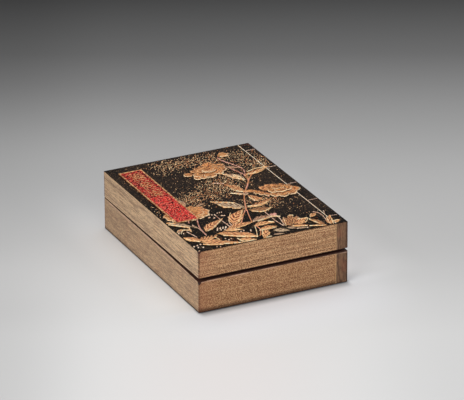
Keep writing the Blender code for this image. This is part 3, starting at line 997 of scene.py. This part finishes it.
goldLeaves = (
    # foot u, v, tip u, v, breadth, bend to the left, belly (under 1: broadest part nearer the foot), tan
    (67.2, 82.2, 84.6, 87.4, 4.4, -1.0, 0.7, 0.6),
    (57.6, 61.4, 51.4, 76.4, 4.4, -0.4, 0.9, 0.4),
    (66.0, 76.2, 68.8, 81.8, 2.0, 0.2, 1.0, 1.0),
    (56.6, 56.6, 58.8, 46.8, 4.8, 0.4, 1.0, 0.5),
    (57.6, 52.6, 61.8, 47.2, 2.6, 0.4, 1.0, 0.2),
    (48.8, 41.4, 67.2, 47.8, 4.8, -1.6, 0.8, 0.7),
    (48.4, 38.2, 61.8, 35.6, 6.8, -1.6, 0.9, 1.0),
    (32.6, 24.6, 46.6, 40.8, 8.0, 1.4, 0.7, 0.2),
    (15.4, 23.2, 30.8, 34.6, 6.0, 0.8, 0.65, 0.2),
    (0.8, 21.0, 9.6, 12.2, 5.4, -0.5, 0.85, 0.1),
    (8.6, 12.8, 10.4, 17.6, 1.5, 0.2, 1.0, 0.4),
    (10.6, 13.0, 12.4, 17.8, 1.5, 0.2, 1.0, 0.0),
    (12.6, 13.0, 14.2, 17.4, 1.5, 0.2, 1.0, 0.3),
    (14.4, 13.2, 16.2, 17.4, 1.5, 0.2, 1.0, 0.1),
    (16.0, 13.2, 19.0, 16.8, 1.6, 0.2, 1.0, 0.5),
    (7.0, 12.4, 17.4, 14.0, 3.8, 0.4, 0.9, 0.1),
    (7.0, 11.4, 18.2, 9.0, 5.2, 0.3, 0.9, 0.2),
    (6.6, 8.4, 27.6, 1.4, 5.6, 1.0, 0.7, 0.3),
    (26.8, 5.8, 35.4, 1.4, 4.4, 0.3, 0.8, 0.0),
    (20.4, 15.6, 38.4, 4.6, 6.2, 1.4, 0.75, 0.2),
    (28.4, 13.0, 37.2, 8.2, 3.6, 0.5, 0.9, 0.0),
    (19.2, 17.6, 28.6, 14.4, 3.4, 0.5, 0.9, 0.4),
    (26.0, 20.2, 44.4, 22.8, 5.8, 0.8, 0.9, 0.2),
    (24.4, 19.6, 34.6, 16.4, 3.8, 0.2, 0.9, 0.1),
    (41.4, 17.8, 53.8, 16.8, 4.8, 1.8, 0.8, 0.0),
    (42.4, 12.6, 52.8, 12.2, 3.8, 0.8, 0.9, 0.1),
    (39.6, 1.4, 45.6, 11.0, 4.8, -0.3, 1.0, 0.0),
    (60.0, 8.6, 58.0, 15.6, 2.6, 0.4, 1.0, 0.8),
    (59.4, 8.8, 61.0, 21.4, 4.6, 0.4, 1.2, 0.8),
    (61.4, 9.0, 68.2, 19.8, 4.4, -0.4, 1.2, 0.8),
    (60.4, 8.8, 65.2, 22.6, 4.4, 0.0, 1.3, 0.9),
    (62.8, 10.6, 71.8, 14.4, 3.6, 0.2, 1.1, 0.2),
    (62.4, 9.6, 70.6, 10.8, 2.6, 0.2, 1.0, 0.1),
    (59.2, 8.4, 68.6, 5.6, 3.4, 0.4, 0.9, 0.8),
    (68.0, 4.6, 77.0, 1.0, 1.7, 0.0, 0.9, 0.3),
    (76.8, 1.6, 72.6, 13.2, 3.8, 0.3, 1.0, 0.9),
    (79.8, 1.2, 80.6, 9.6, 2.4, 0.3, 1.0, 0.6),
    (80.2, 1.4, 83.8, 12.4, 3.2, 0.3, 1.0, 0.4),
    (82.0, 1.8, 86.4, 4.8, 2.3, 0.2, 1.0, 0.0),
    (74.0, 14.4, 79.0, 18.2, 3.3, 0.3, 1.0, 0.4),
)
paleLeaves = (
    (65.2, 75.8, 55.6, 90.0, 5.8, -0.8, 0.8, 0.0),
    (69.8, 92.2, 61.8, 97.6, 2.8, 0.3, 1.0, 0.7),
    (56.0, 58.0, 48.6, 63.4, 3.0, -0.3, 0.8, 0.3),
    (54.4, 56.2, 58.0, 60.6, 3.6, 0.0, 1.0, 0.0),
    (48.4, 41.8, 34.2, 56.8, 7.2, -0.6, 0.8, 0.0),
    (42.6, 23.0, 57.6, 24.8, 4.6, 2.0, 0.85, 0.6),
    (0.8, 41.4, 11.6, 31.2, 3.8, 0.6, 1.2, 0.2),
    (9.4, 31.0, 8.0, 25.4, 1.8, -0.3, 1.0, 0.0),
    (48.2, 8.4, 56.4, 4.2, 4.8, 0.4, 0.9, 0.0),
    (56.2, 8.2, 60.8, 5.0, 2.6, 0.2, 0.9, 0.8),
    (60.0, 4.8, 66.8, 3.0, 1.9, 0.2, 0.9, 0.8),
    (45.8, 2.8, 51.8, 1.6, 1.7, 0.2, 0.9, 0.8),
    (66.8, 15.8, 67.8, 19.2, 1.7, 0.0, 1.0, 0.2),
    (0.8, 27.6, 6.4, 29.4, 2.4, 0.8, 1.0, 0.9),
    (11.8, 33.2, 13.6, 28.0, 1.5, 0.0, 1.0, 1.0),
    (19.8, 57.0, 20.0, 67.6, 2.4, -0.5, 1.0, 0.3),
    (24.2, 54.6, 31.4, 57.2, 1.6, 0.3, 1.0, 0.3),
)


def makeLeaves(name, rows):
    return thicken(joinAll(name, [layLeaf(row, 0.04 * (index % 4)) for index, row in enumerate(rows)]))


copperStems = (
    # breadth, then the places that the stem passes
    (0.55, (42.6, 22.6), (43.6, 26.0), (45.2, 32.0), (47.0, 37.4)),
    (0.75, (46.8, 37.0), (47.4, 39.4), (50.0, 46.0), (53.2, 54.0), (57.0, 61.0)),
    (0.95, (56.6, 60.4), (60.4, 65.2), (64.2, 71.2), (66.8, 75.6)),
    (0.9, (65.8, 74.4), (66.6, 78.6), (67.0, 82.0)),
    (0.8, (66.2, 74.6), (68.4, 77.6), (71.0, 80.6)),
    (0.7, (36.4, 23.0), (39.4, 28.0), (43.6, 34.6), (46.6, 38.6), (48.4, 41.6)),
    (0.7, (65.6, 49.2), (67.8, 51.2)),
    (0.6, (38.6, 4.4), (41.6, 9.2), (42.8, 13.6), (42.2, 17.6)),
)
rosyStems = (
    (0.6, (65.6, 111.8), (63.9, 110.2), (64.0, 106.8), (65.4, 102.6), (67.0, 98.8), (68.8, 94.6),
     (69.8, 91.0), (69.6, 86.6), (67.8, 82.6)),
    (0.6, (67.0, 82.6), (65.6, 87.0), (65.0, 90.2), (64.0, 92.6)),
    (0.8, (17.6, 38.6), (16.4, 35.4), (14.8, 30.6), (13.6, 25.0), (13.2, 18.0)),
    (0.7, (12.4, 38.6), (11.6, 35.6)),
)
paleTwigs = (
    (0.5, (12.0, 33.0), (13.2, 29.4), (13.4, 24.0), (13.2, 17.4)),
    (0.5, (5.6, 26.4), (6.6, 22.6), (7.6, 17.4)),
    (0.5, (28.8, 39.6), (28.8, 33.0), (29.0, 27.0), (29.4, 20.6)),
    (0.5, (31.4, 27.4), (30.8, 24.6), (31.4, 21.6)),
    (0.5, (35.6, 27.2), (33.8, 24.6), (32.8, 21.6)),
    (0.5, (54.6, 31.0), (54.8, 24.0), (54.5, 17.0), (55.6, 10.4)),
    (0.5, (58.2, 25.0), (58.4, 22.0), (57.4, 15.6), (56.2, 10.6)),
    (0.5, (79.0, 3.0), (79.8, 9.0), (80.6, 14.6), (79.6, 18.6), (77.8, 19.6)),
    (0.5, (82.4, 14.4), (83.8, 18.4)),
    (0.5, (51.4, 75.6), (49.0, 77.6), (45.6, 79.0)),
)
creamRidges = (
    # raised gold lines along the rims of leaves, their bright cream partly a painted highlight
    (0.8, (0.9, 20.2), (2.4, 17.2), (4.2, 14.2), (6.8, 12.0)),
    (0.7, (6.8, 8.4), (8.6, 6.6), (11.2, 5.5), (16.2, 3.5)),
    (0.7, (17.0, 4.2), (21.4, 2.2)),
    (0.7, (22.0, 2.3), (26.8, 1.0)),
    (0.9, (21.2, 13.8), (25.0, 11.4), (28.0, 9.0), (31.6, 6.9), (34.8, 5.4), (37.2, 4.2)),
    (0.6, (26.4, 7.0), (26.6, 4.4), (27.6, 1.8)),
    (0.6, (27.4, 1.2), (31.0, 1.3), (35.0, 1.0)),
    (0.8, (27.2, 19.4), (29.8, 18.2), (32.6, 16.8)),
    (0.5, (16.4, 13.8), (17.2, 11.4), (17.2, 9.8)),
    (0.5, (36.8, 4.2), (39.6, 10.0), (41.8, 17.4)),
    (0.7, (39.4, 1.1), (41.6, 1.2), (44.2, 1.2)),
    (0.5, (39.6, 2.2), (40.6, 6.0), (43.2, 10.8)),
    (0.6, (41.6, 11.2), (46.0, 9.8), (51.4, 10.8)),
    (0.6, (50.8, 19.4), (53.4, 17.2)),
    (1.0, (55.2, 25.0), (57.4, 24.0), (59.6, 22.4)),
    (0.6, (46.0, 22.2), (50.0, 22.6), (54.6, 24.2)),
    (0.45, (57.0, 10.2), (58.4, 14.0), (60.2, 20.2)),
    (0.4, (63.2, 20.6), (65.2, 22.2), (66.4, 20.4)),
    (0.5, (66.0, 15.0), (69.0, 14.4), (71.6, 14.4)),
    (0.5, (68.0, 9.2), (70.4, 11.2), (71.8, 14.0)),
    (0.6, (60.0, 8.4), (64.0, 6.2), (67.2, 4.8)),
    (0.7, (68.0, 4.4), (72.0, 2.7), (76.4, 1.0)),
    (0.6, (72.0, 12.6), (72.4, 9.0), (74.4, 4.4)),
    (0.6, (73.8, 14.6), (74.6, 16.8), (76.0, 18.0)),
    (0.5, (79.4, 2.0), (80.2, 6.0), (81.4, 10.6)),
    (0.5, (81.0, 1.4), (82.6, 6.4), (84.0, 11.6)),
    (0.5, (82.4, 4.4), (84.6, 4.8), (86.0, 4.0)),
    (0.6, (49.0, 35.8), (51.6, 33.8), (54.0, 32.6), (57.2, 33.2), (60.4, 35.4)),
    (0.6, (49.8, 42.6), (53.0, 41.2), (57.4, 41.4), (62.0, 43.4)),
    (0.8, (37.2, 47.2), (39.4, 45.9), (41.8, 45.2)),
    (0.7, (41.2, 43.8), (43.2, 42.7), (45.4, 42.0)),
    (0.5, (34.2, 56.8), (37.6, 54.8), (41.0, 53.0), (45.6, 49.6)),
    (0.5, (36.4, 52.0), (37.0, 49.0), (38.8, 46.4)),
    (0.5, (32.2, 29.0), (34.2, 33.8), (37.6, 38.6)),
    (0.5, (36.6, 27.0), (40.2, 31.6), (44.4, 38.4)),
    (0.5, (15.6, 22.8), (16.6, 26.0), (19.6, 30.4)),
    (0.6, (16.4, 22.8), (20.0, 24.4), (24.4, 28.0), (30.4, 33.8)),
    (0.7, (49.2, 62.6), (51.8, 60.4), (54.2, 58.4)),
    (0.5, (55.8, 52.8), (56.4, 49.4), (58.0, 46.8)),
    (0.5, (70.4, 85.2), (73.6, 86.4), (77.4, 87.4), (83.6, 86.8)),
    (0.6, (68.2, 81.8), (72.0, 81.6), (77.0, 83.6), (82.0, 86.0)),
    (0.5, (55.4, 90.4), (58.0, 87.2), (59.6, 82.6), (60.6, 79.6), (64.4, 76.0)),
    (0.45, (60.8, 83.6), (62.4, 79.4)),
    (0.45, (62.2, 84.4), (63.8, 79.0)),
    (0.5, (52.0, 68.0), (52.6, 65.4), (54.4, 62.8), (56.8, 61.0)),
    (0.5, (66.2, 111.2), (68.0, 110.0), (71.0, 110.6)),
    (0.5, (0.9, 41.8), (3.0, 40.8), (5.2, 39.4)),
    (0.6, (0.9, 39.6), (4.0, 36.2), (7.8, 32.8), (9.6, 30.6)),
    (0.5, (8.6, 29.6), (8.2, 25.6)),
    (0.5, (0.9, 28.2), (2.2, 30.6), (5.0, 29.8), (8.0, 28.0)),
    (0.5, (2.2, 26.0), (4.4, 29.0)),
)


def makeStems(name, rows, lift=0.0, shift=(0, 0)):
    laid = []
    for breadth, *route in rows:
        curve = bpy.data.curves.new("stem", "CURVE")
        curve.dimensions = "3D"
        curve.bevel_depth = 0.5
        curve.bevel_resolution = 2
        curve.use_fill_caps = True
        curve.resolution_u = 6
        spline = curve.splines.new("NURBS")
        spline.points.add(len(route) - 1)
        for point, (u, v) in zip(spline.points, route):
            point.co = (u / breadth, v / breadth, 0, 1)
        spline.order_u = 3
        spline.use_endpoint_u = True
        piece = bpy.data.objects.new("stem", curve)
        bpy.context.scene.collection.objects.link(piece)
        take(piece)
        bpy.ops.object.convert(target="MESH")
        piece = bpy.context.object
        unit = verticesOf(piece)
        rises = lift + unit[:, 2] * 2 * relief["stemRise"]
        settle(piece, spreadSheet(unit[:, :2] * breadth + shift, rises))
        laid.append(piece)
    piece = joinAll(name, laid)
    bpy.ops.object.shade_smooth()
    return piece


def makeBead(name):
    # round bead with few sides, radius 1, that lobes and berries are stretched from
    clearSelection()
    bpy.ops.mesh.primitive_uv_sphere_add(segments=10, ring_count=6, radius=1)
    bead = done(name)
    bpy.ops.object.shade_smooth()
    return bead


def layBead(master, middle, ahead, long, wide, high, slant=0.0):
    piece = copyOf(master, "bead")
    unit = verticesOf(piece)
    side = np.array((-ahead[1], ahead[0]))
    places = middle + np.outer(unit[:, 0] * long, ahead)
    places = places + np.outer(unit[:, 1] * wide + unit[:, 0] * slant * wide, side)
    settle(piece, spreadSheet(places, unit[:, 2] * high))
    return piece


thread = dict(lobe=1.1, breadth=0.44, rise=0.26, slant=0.35, overlap=0.62,
              stitches=(10.7, 34.7, 59.8, 85.3, 111.6),
              # how far the line stays from both ends, and a stitch from the line and from the spine
              ends=0.7, fromLine=0.5, fromSpine=0.8)


def layThread(master, start, end):
    # twisted thread: slanting lobes one after the other
    start, ahead, side, length = framed(start, end)
    count = max(round(length / thread["lobe"]), 2)
    half = thread["breadth"] / 2
    long = length / count * thread["overlap"]
    return [layBead(master, start + ahead * length * (index + 0.5) / count, ahead, long,
                    half, thread["rise"], thread["slant"]) for index in range(count)]


def makeThreads():
    master = makeBead("threadMaster")
    threadU = (threadX / books["width"] + 0.5) * sheet["width"]
    ends = (threadU, thread["ends"]), (threadU, sheet["length"] - thread["ends"])
    line = joinAll("bindingThread", layThread(master, *ends))
    lobes = []
    for place in thread["stitches"]:
        ends = (threadU + thread["fromLine"], place), (sheet["width"] - thread["fromSpine"], place)
        lobes += layThread(master, *ends)
    stitches = joinAll("bindingStitches", lobes)
    bpy.data.objects.remove(master)
    return line, stitches


berryRows = (
    # first u, v, last u, v, count, length, breadth, lean in degrees
    (22.4, 23.2, 27.2, 23.0, 4, 3.2, 0.9, 62),
    (21.4, 21.4, 25.6, 20.6, 3, 1.5, 0.8, 60),
    (24.8, 38.4, 27.0, 36.8, 2, 1.7, 1.2, 50),
    (26.2, 41.4, 29.0, 40.6, 3, 1.6, 0.7, 62),
    (31.2, 41.8, 33.8, 42.0, 3, 1.5, 0.7, 64),
    (32.0, 37.8, 33.2, 37.2, 2, 1.4, 1.0, -20),
    (29.8, 26.6, 34.6, 25.6, 4, 1.2, 0.7, 66),
    (30.6, 23.2, 33.6, 22.8, 3, 1.1, 0.7, 66),
    (1.2, 26.8, 3.4, 25.6, 3, 1.4, 0.8, 60),
    (32.0, 14.2, 33.9, 14.8, 2, 1.5, 0.9, 66),
    (34.2, 11.6, 34.7, 10.8, 2, 1.0, 0.7, 66),
    (1.2, 7.8, 5.4, 8.8, 3, 1.7, 1.0, 60),
    (2.8, 5.8, 5.2, 4.8, 2, 1.7, 0.9, 60),
    (20.6, 9.6, 21.6, 7.4, 2, 1.4, 0.8, 60),
    (23.4, 8.2, 24.2, 7.4, 2, 1.3, 0.9, 60),
    (12.2, 2.6, 13.8, 1.6, 2, 1.7, 0.6, 62),
    (0.9, 0.9, 1.3, 1.5, 2, 1.3, 0.8, 60),
    (46.6, 2.8, 50.4, 2.0, 2, 1.2, 0.8, 20),
    (61.2, 4.2, 66.4, 3.0, 2, 1.3, 0.9, 20),
    (37.2, 12.6, 37.5, 13.6, 2, 1.5, 0.9, 60),
    (44.0, 23.2, 44.6, 24.0, 2, 1.8, 1.0, 64),
    (56.6, 47.9, 57.9, 47.1, 2, 1.5, 1.0, -20),
    (54.9, 57.2, 55.4, 58.0, 2, 1.5, 1.2, 60),
)
gapRows = (
    # dark ground that shows between and through the leaves, deepened with painted shade, in the same columns
    (31.0, 5.2, 33.2, 3.2, 2, 1.7, 0.8, 60),
    (43.4, 14.2, 47.8, 13.6, 3, 1.2, 0.7, 60),
    (49.0, 9.4, 49.5, 9.2, 2, 0.9, 0.6, 30),
    (61.2, 9.6, 63.6, 9.6, 2, 1.5, 0.8, 62),
    (67.2, 9.0, 67.5, 8.2, 2, 1.4, 0.9, 62),
    (18.4, 12.8, 18.4, 10.6, 2, 2.0, 1.4, 62),
    (22.6, 8.8, 25.4, 5.4, 3, 1.8, 1.1, 60),
    (6.2, 36.6, 7.4, 35.4, 2, 1.5, 0.9, 60),
    (2.6, 27.8, 4.6, 27.0, 2, 1.0, 0.6, 60),
    (10.6, 15.8, 15.4, 15.4, 4, 1.9, 0.4, 66),
    (41.4, 8.6, 42.6, 5.4, 2, 2.6, 0.5, 64),
    (60.6, 13.0, 64.4, 14.6, 3, 2.6, 0.5, 64),
    (61.0, 17.6, 64.0, 18.6, 2, 2.4, 0.4, 64),
    (69.2, 12.4, 70.4, 12.6, 2, 1.8, 0.5, 64),
    (80.6, 5.2, 82.2, 6.8, 2, 2.6, 0.5, 66),
    (75.4, 12.6, 76.4, 12.2, 2, 1.6, 0.5, -20),
    (30.2, 20.6, 34.2, 19.4, 3, 1.2, 0.5, 60),
    (45.4, 25.6, 52.0, 25.0, 3, 1.3, 0.5, 50),
)


def makeBeads(name, rows, high):
    master = makeBead("beadMaster")
    laid = []
    for firstU, firstV, lastU, lastV, count, long, wide, lean in rows:
        ahead = np.array((math.cos(math.radians(lean)), math.sin(math.radians(lean))))
        for index in range(count):
            share = index / (count - 1)
            middle = np.array((firstU + (lastU - firstU) * share, firstV + (lastV - firstV) * share))
            middle = middle - high * np.array(relief["beadShift"])
            laid.append(layBead(master, middle, ahead, long / 2, wide / 2, high))
    bpy.data.objects.remove(master)
    return joinAll(name, laid)


label = dict(left=5.1, right=19.0, bottom=38.6, top=113.4, border=0.9, field=0.46, borderRise=0.58)


def addPad(name, left, right, bottom, top, rise, bevel=0.12):
    # low block on the sheet with softened upper edges
    corners = spreadSheet(np.array(((left, bottom), (right, top))), np.array((-relief["sunk"], rise)))
    piece = addBlock(name, tuple(corners.mean(axis=0)), tuple(corners[1] - corners[0]))
    height = corners[1][2]
    roundEdges(piece, bevel * mm, 2, lambda a, b: 1.0 if min(a.z, b.z) > height - tiny else 0.0)
    return piece


def makeLabel():
    left, right, bottom, top, border = (label[name] for name in ("left", "right", "bottom", "top", "border"))
    field = addPad("labelField", left, right, bottom, top, label["field"])
    sides = ((left, left + border, bottom, top), (right - border, right, bottom, top),
             (left, right, bottom, bottom + border), (left, right, top - border, top))
    laid = [addPad("labelSide", *side, label["borderRise"]) for side in sides]
    return field, joinAll("labelBorder", laid)


strokes = dict(top=109.2, rows=15, pitch=2.3, left=8.6, right=16.2, breadth=0.8, rise=0.58)


def makeStrokes():
    # even rows of short dashes in place of the title, no letters
    draw = random.Random(21)
    laid = []
    for row in range(strokes["rows"]):
        v = strokes["top"] - row * strokes["pitch"]
        u = strokes["left"] + draw.uniform(0, 1.2)
        while u < strokes["right"] - 0.8:
            end = min(u + draw.uniform(1.2, 2.8), strokes["right"])
            laid.append(addPad("stroke", u, end, v - strokes["breadth"] / 2, v + strokes["breadth"] / 2,
                               strokes["rise"], 0.08))
            u = end + draw.uniform(0.7, 1.2)
    return joinAll("labelStrokes", laid)


# Gold dust: clouds of tiny flakes, thick in some places and bare in others

clouds = (
    # u, v, spread along u and v, flakes per square mm at the middle
    (45, 112, 10, 5, 2.6),
    (30, 108, 4, 7, 0.8),
    (61, 108, 5, 5, 1.6),
    (76, 102, 6, 9, 1.7),
    (76, 90, 6, 3.5, 1.3),
    (86, 101, 2, 6, 1.2),
    (83, 94, 1.8, 3, 2.0),
    (52, 80, 7, 4, 2.1),
    (46, 73, 8, 4.5, 1.8),
    (33, 66, 7, 4.5, 2.0),
    (25, 62, 3.5, 5, 2.2),
    (63, 73, 4, 4, 1.0),
    (60, 86, 3, 3, 1.1),
    (42, 60, 7, 3, 1.0),
    (49, 67, 5, 3.5, 1.2),
    (60, 42, 6, 4, 2.3),
    (66, 47, 4, 3, 1.5),
    (52, 49, 3, 3, 1.2),
    (33, 52, 3, 2, 0.6),
    (74, 36, 7, 9, 0.16),
    (2.6, 52, 1.2, 8, 0.6),
    (2.8, 84, 1.2, 18, 0.12),
    (28, 93, 7, 12, 0.08),
    (86, 75, 2, 20, 0.03),
)
flakes = dict(least=0.18, most=0.46, rise=0.10, sides=5, share=0.6, seed=5,
              # how far they stay from the rim, and where the patch at head and spine starts, which has none
              margin=1, bareCorner=(82, 111))


def makeDust():
    clearSelection()
    bpy.ops.mesh.primitive_cone_add(vertices=flakes["sides"], radius1=1, radius2=0.6, depth=1)
    master = done("flakeMaster")
    unit = verticesOf(master)
    faces = [tuple(face.vertices) for face in master.data.polygons]
    bpy.data.objects.remove(master)
    draw = np.random.default_rng(flakes["seed"])
    places = []
    for u, v, spreadU, spreadV, amount in clouds:
        count = int(amount * flakes["share"] * 2 * math.pi * spreadU * spreadV)
        places.append(draw.normal((u, v), (spreadU, spreadV), (count, 2)))
    places = np.concatenate(places)
    u, v = places.T
    margin = flakes["margin"]
    inside = (u > margin) & (u < sheet["width"] - margin) & (v > margin) & (v < sheet["length"] - margin)
    inside &= ~((u > label["left"]) & (u < label["right"]) & (v > label["bottom"]) & (v < label["top"]))
    inside &= ~((u > flakes["bareCorner"][0]) & (v > flakes["bareCorner"][1]))
    places = places[inside]
    points = []
    corners = []
    for number, place in enumerate(places):
        turn = draw.uniform(0, 2 * math.pi)
        flat = unit[:, :2] * draw.uniform(flakes["least"], flakes["most"], 2)
        turned = np.stack((flat[:, 0] * math.cos(turn) - flat[:, 1] * math.sin(turn),
                           flat[:, 0] * math.sin(turn) + flat[:, 1] * math.cos(turn)), axis=1)
        points.append(spreadSheet(turned + place, unit[:, 2] * 2 * flakes["rise"]))
        corners += [tuple(index + number * len(unit) for index in face) for face in faces]
    mesh = bpy.data.meshes.new("goldDust")
    mesh.from_pydata(np.concatenate(points).tolist(), [], corners)
    mesh.update()
    piece = bpy.data.objects.new("goldDust", mesh)
    bpy.context.scene.collection.objects.link(piece)
    print("flakes:", len(places))
    return piece


made = []


def dress(piece, finish, slotName="raised_gold"):
    # a piece with two slots has its cut edges in the second
    slots = max(len(piece.data.materials), 1)
    shares = [face.material_index for face in piece.data.polygons]
    piece.data.materials.clear()
    for name in (finish, "edge")[:slots]:
        piece.data.materials.append(finishes[name])
    piece.data.polygons.foreach_set("material_index", shares)
    tipLid(piece)
    made.append((piece, slotName))


for name, rows, olive, calm in (("upperPeony", upperPeony, 0.1, 0.3), ("sidePeony", sidePeony, 0.8, 0.0),
                                ("labelPeony", labelPeony, 0.3, 0.9), ("openBud", openBud, 0.3, 1.0)):
    dress(makeBlossom(name, rows, olive, calm), "petal")
dress(makeBlossom("pinkBud", pinkBud, 0.0, 0.0), "rosyStem")
dress(makeLeaves("goldLeaves", goldLeaves), "leaf")
dress(makeLeaves("paleLeaves", paleLeaves), "pale")
dress(makeStems("copperStems", copperStems), "stem")
dress(makeStems("rosyStems", rosyStems), "rosyStem")
dress(makeStems("paleTwigs", paleTwigs), "twig")
dress(makeStems("creamRidges", creamRidges, relief["ridgeLift"], relief["ridgeShift"]), "ridge")
dress(makeBeads("berries", berryRows, relief["berryRise"]), "berry")
dress(makeBeads("darkGaps", gapRows, relief["gapRise"]), "edge")
threadLine, threadStitches = makeThreads()
dress(threadLine, "thread")
dress(threadStitches, "stitch")
labelField, labelBorder = makeLabel()
dress(labelField, "red", "red_lacquer")
dress(labelBorder, "border")
dress(makeStrokes(), "stroke")
dress(makeDust(), "dust")
for master in (leafMaster, petalMaster):
    bpy.data.objects.remove(master)
print("ornament:", len(made), "pieces")

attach(baseShell, "root")
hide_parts("box_base")
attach(lidShell, "root")
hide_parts("box_lid")
for piece, slotName in made:
    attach(piece, "root")


# Stage, lights and camera

camera = dict(azimuth=25.844, elevation=24.270, roll=-0.165, lens=328.874, sensor=36,
              place=(-0.91499, -1.89875, 0.98306))
stage = dict(
    size=8.0,
    near=-0.20,               # where the paper's shading starts and ends, along the view
    far=0.40,
    stops=((-0.10, 221), (-0.05, 213), (0.02, 196), (0.13, 173), (0.21, 148), (0.29, 110), (0.38, 74)),
    warm=tone(228, 220, 218),
    cool=tone(232, 234, 242),
    shadow=7.5 * mm,          # how far the soft shadow before the tail reaches
    glow=tone(138, 137, 138),  # bounced light on the paper beyond the spine, where it touches the box
    aim=(0, 0, 0.02),         # where every light points
    sky=(0.9, 0.92, 0.95, 1),
    skyStrength=0.35,
)
# name, place, size, power and colour
lights = (
    ("keyLight", (-1.3, -0.5, 1.5), (1.2, 1.2), 22, (1.0, 0.98, 0.95)),
    ("frontLight", (0.3, -1.7, 1.0), (1.4, 0.9), 9, (1.0, 0.96, 0.90)),
    ("topLight", (0.2, 0.4, 1.9), (1.6, 1.6), 12, (0.97, 0.98, 1.0)),
)


def makeStage():
    clearSelection()
    bpy.ops.mesh.primitive_grid_add(x_subdivisions=8, y_subdivisions=8, size=stage["size"])
    floor = done("studioFloor")
    finish = Finish("studioPaper")
    rise = finish.rise
    alongTail, alongForeEdge, unused = finish.split(finish.coords())
    x, y, unused = finish.split(finish.moved(finish.coords(), turn=(0, 0, math.radians(camera["azimuth"]))))
    span = stage["far"] - stage["near"]
    stops = [((place - stage["near"]) / span, tone(grey, grey, grey)) for place, grey in stage["stops"]]
    # painted shade: the paper darkens towards the left, most of all far off and near the front, and a little
    # to the right
    falloff = rise(x, -0.06, -0.14) * 0.17
    falloff = falloff + rise(x, 0.10, -0.14) * rise(y, 0.14, 0.26) * 0.15
    falloff = falloff + rise(x, -0.04, -0.11) * rise(y, -0.01, -0.08) * 0.09
    falloff = falloff + rise(x, 0.05, 0.13) * rise(y, 0.12, -0.02) * 0.10
    # a painted pool of warm light in front of the box
    warmLightPool = rise(abs(x), 0.09, 0.0) * rise(y, -0.08, -0.14)
    # cool where it offsets the warm light that the gold side throws, and a painted shadow where the tail
    # meets the paper
    ahead = (-halfLength) - alongForeEdge
    atTail = rise(ahead, -8 * mm, -2 * mm)
    before = rise(abs(alongTail), halfWidth + 36 * mm, halfWidth - 20 * mm) * atTail
    beside = rise(abs(alongTail), halfWidth + 2 * mm, halfWidth - 2 * mm) * atTail
    # painted light along the fore-edge, where the box would shade the paper, and a painted shadow where that
    # meets the paper
    fromTail = rise(alongForeEdge, -66 * mm, -42 * mm)
    toHead = rise(alongForeEdge, 110 * mm, 60 * mm)
    left = rise(alongTail, -halfWidth - 30 * mm, -halfWidth) * rise(alongTail, 0.0, -halfWidth)
    lightened = left * fromTail * rise(alongForeEdge, 135 * mm, 20 * mm)
    contactShadow = rise(alongTail, -halfWidth - 0.7 * mm, -halfWidth) * left * fromTail * toHead
    contactShadow = contactShadow * rise(alongForeEdge, halfLength + 1 * mm, halfLength - 2 * mm)
    black = tone(0, 0, 0)
    colour = finish.coats(
        finish.ramp((y - stage["near"]) * (1 / span), stops),
        (falloff, black),
        (warmLightPool * 0.5, stage["warm"]),
        (rise(ahead, 0.06, 0.01) * before * 0.42, stage["cool"]),
        (rise(ahead, stage["shadow"], 0.0) * beside * 0.56, black),
        (rise(ahead, 1.4 * mm, 0.5 * mm) * beside * 0.6, black),
        (lightened * 0.3, tone(255, 255, 255)),
        (contactShadow * (rise(alongForeEdge, -20 * mm, -62 * mm) * 0.5 + 0.3), black),
    )
    # painted light: the paper beyond the spine glows, filling in where the box would shade it
    right = rise(alongTail, halfWidth + 52 * mm, halfWidth) * rise(alongTail, 0.0, halfWidth)
    glow = finish.coats(black, (right * rise(alongForeEdge, -69 * mm, -44 * mm) * toHead, stage["glow"]))
    floor.data.materials.append(finish.close(Base_Color=colour, Roughness=0.9, Specular_IOR_Level=0.1,
                                             Emission_Color=glow, Emission_Strength=1.0))


def addLight(name, place, size, power, colour):
    lamp = bpy.data.lights.new(name, "AREA")
    lamp.shape = "RECTANGLE"
    lamp.size, lamp.size_y = size
    lamp.energy = power
    lamp.color = colour
    light = bpy.data.objects.new(name, lamp)
    light.location = place
    light.rotation_euler = (Vector(stage["aim"]) - Vector(place)).to_track_quat("-Z", "Y").to_euler()
    bpy.context.scene.collection.objects.link(light)


def makeCamera():
    data = bpy.data.cameras.new("camera")
    data.sensor_width = camera["sensor"]
    data.lens = camera["lens"]
    data.clip_start = 0.1
    data.clip_end = 30
    viewer = bpy.data.objects.new("camera", data)
    viewer.location = camera["place"]
    turn = Matrix.Rotation(math.radians(-camera["azimuth"]), 3, "Z")
    turn = turn @ Matrix.Rotation(math.radians(90 - camera["elevation"]), 3, "X")
    turn = turn @ Matrix.Rotation(math.radians(camera["roll"]), 3, "Z")
    viewer.rotation_euler = turn.to_euler()
    bpy.context.scene.collection.objects.link(viewer)
    bpy.context.scene.camera = viewer


makeStage()
for row in lights:
    addLight(*row)
makeCamera()
world = bpy.data.worlds.new("studio")
world.use_nodes = True
sky = world.node_tree.nodes["Background"].inputs
sky["Color"].default_value = stage["sky"]
sky["Strength"].default_value = stage["skyStrength"]
bpy.context.scene.world = world
bpy.context.scene.view_settings.view_transform = "Standard"
print("stage, lights and camera set")
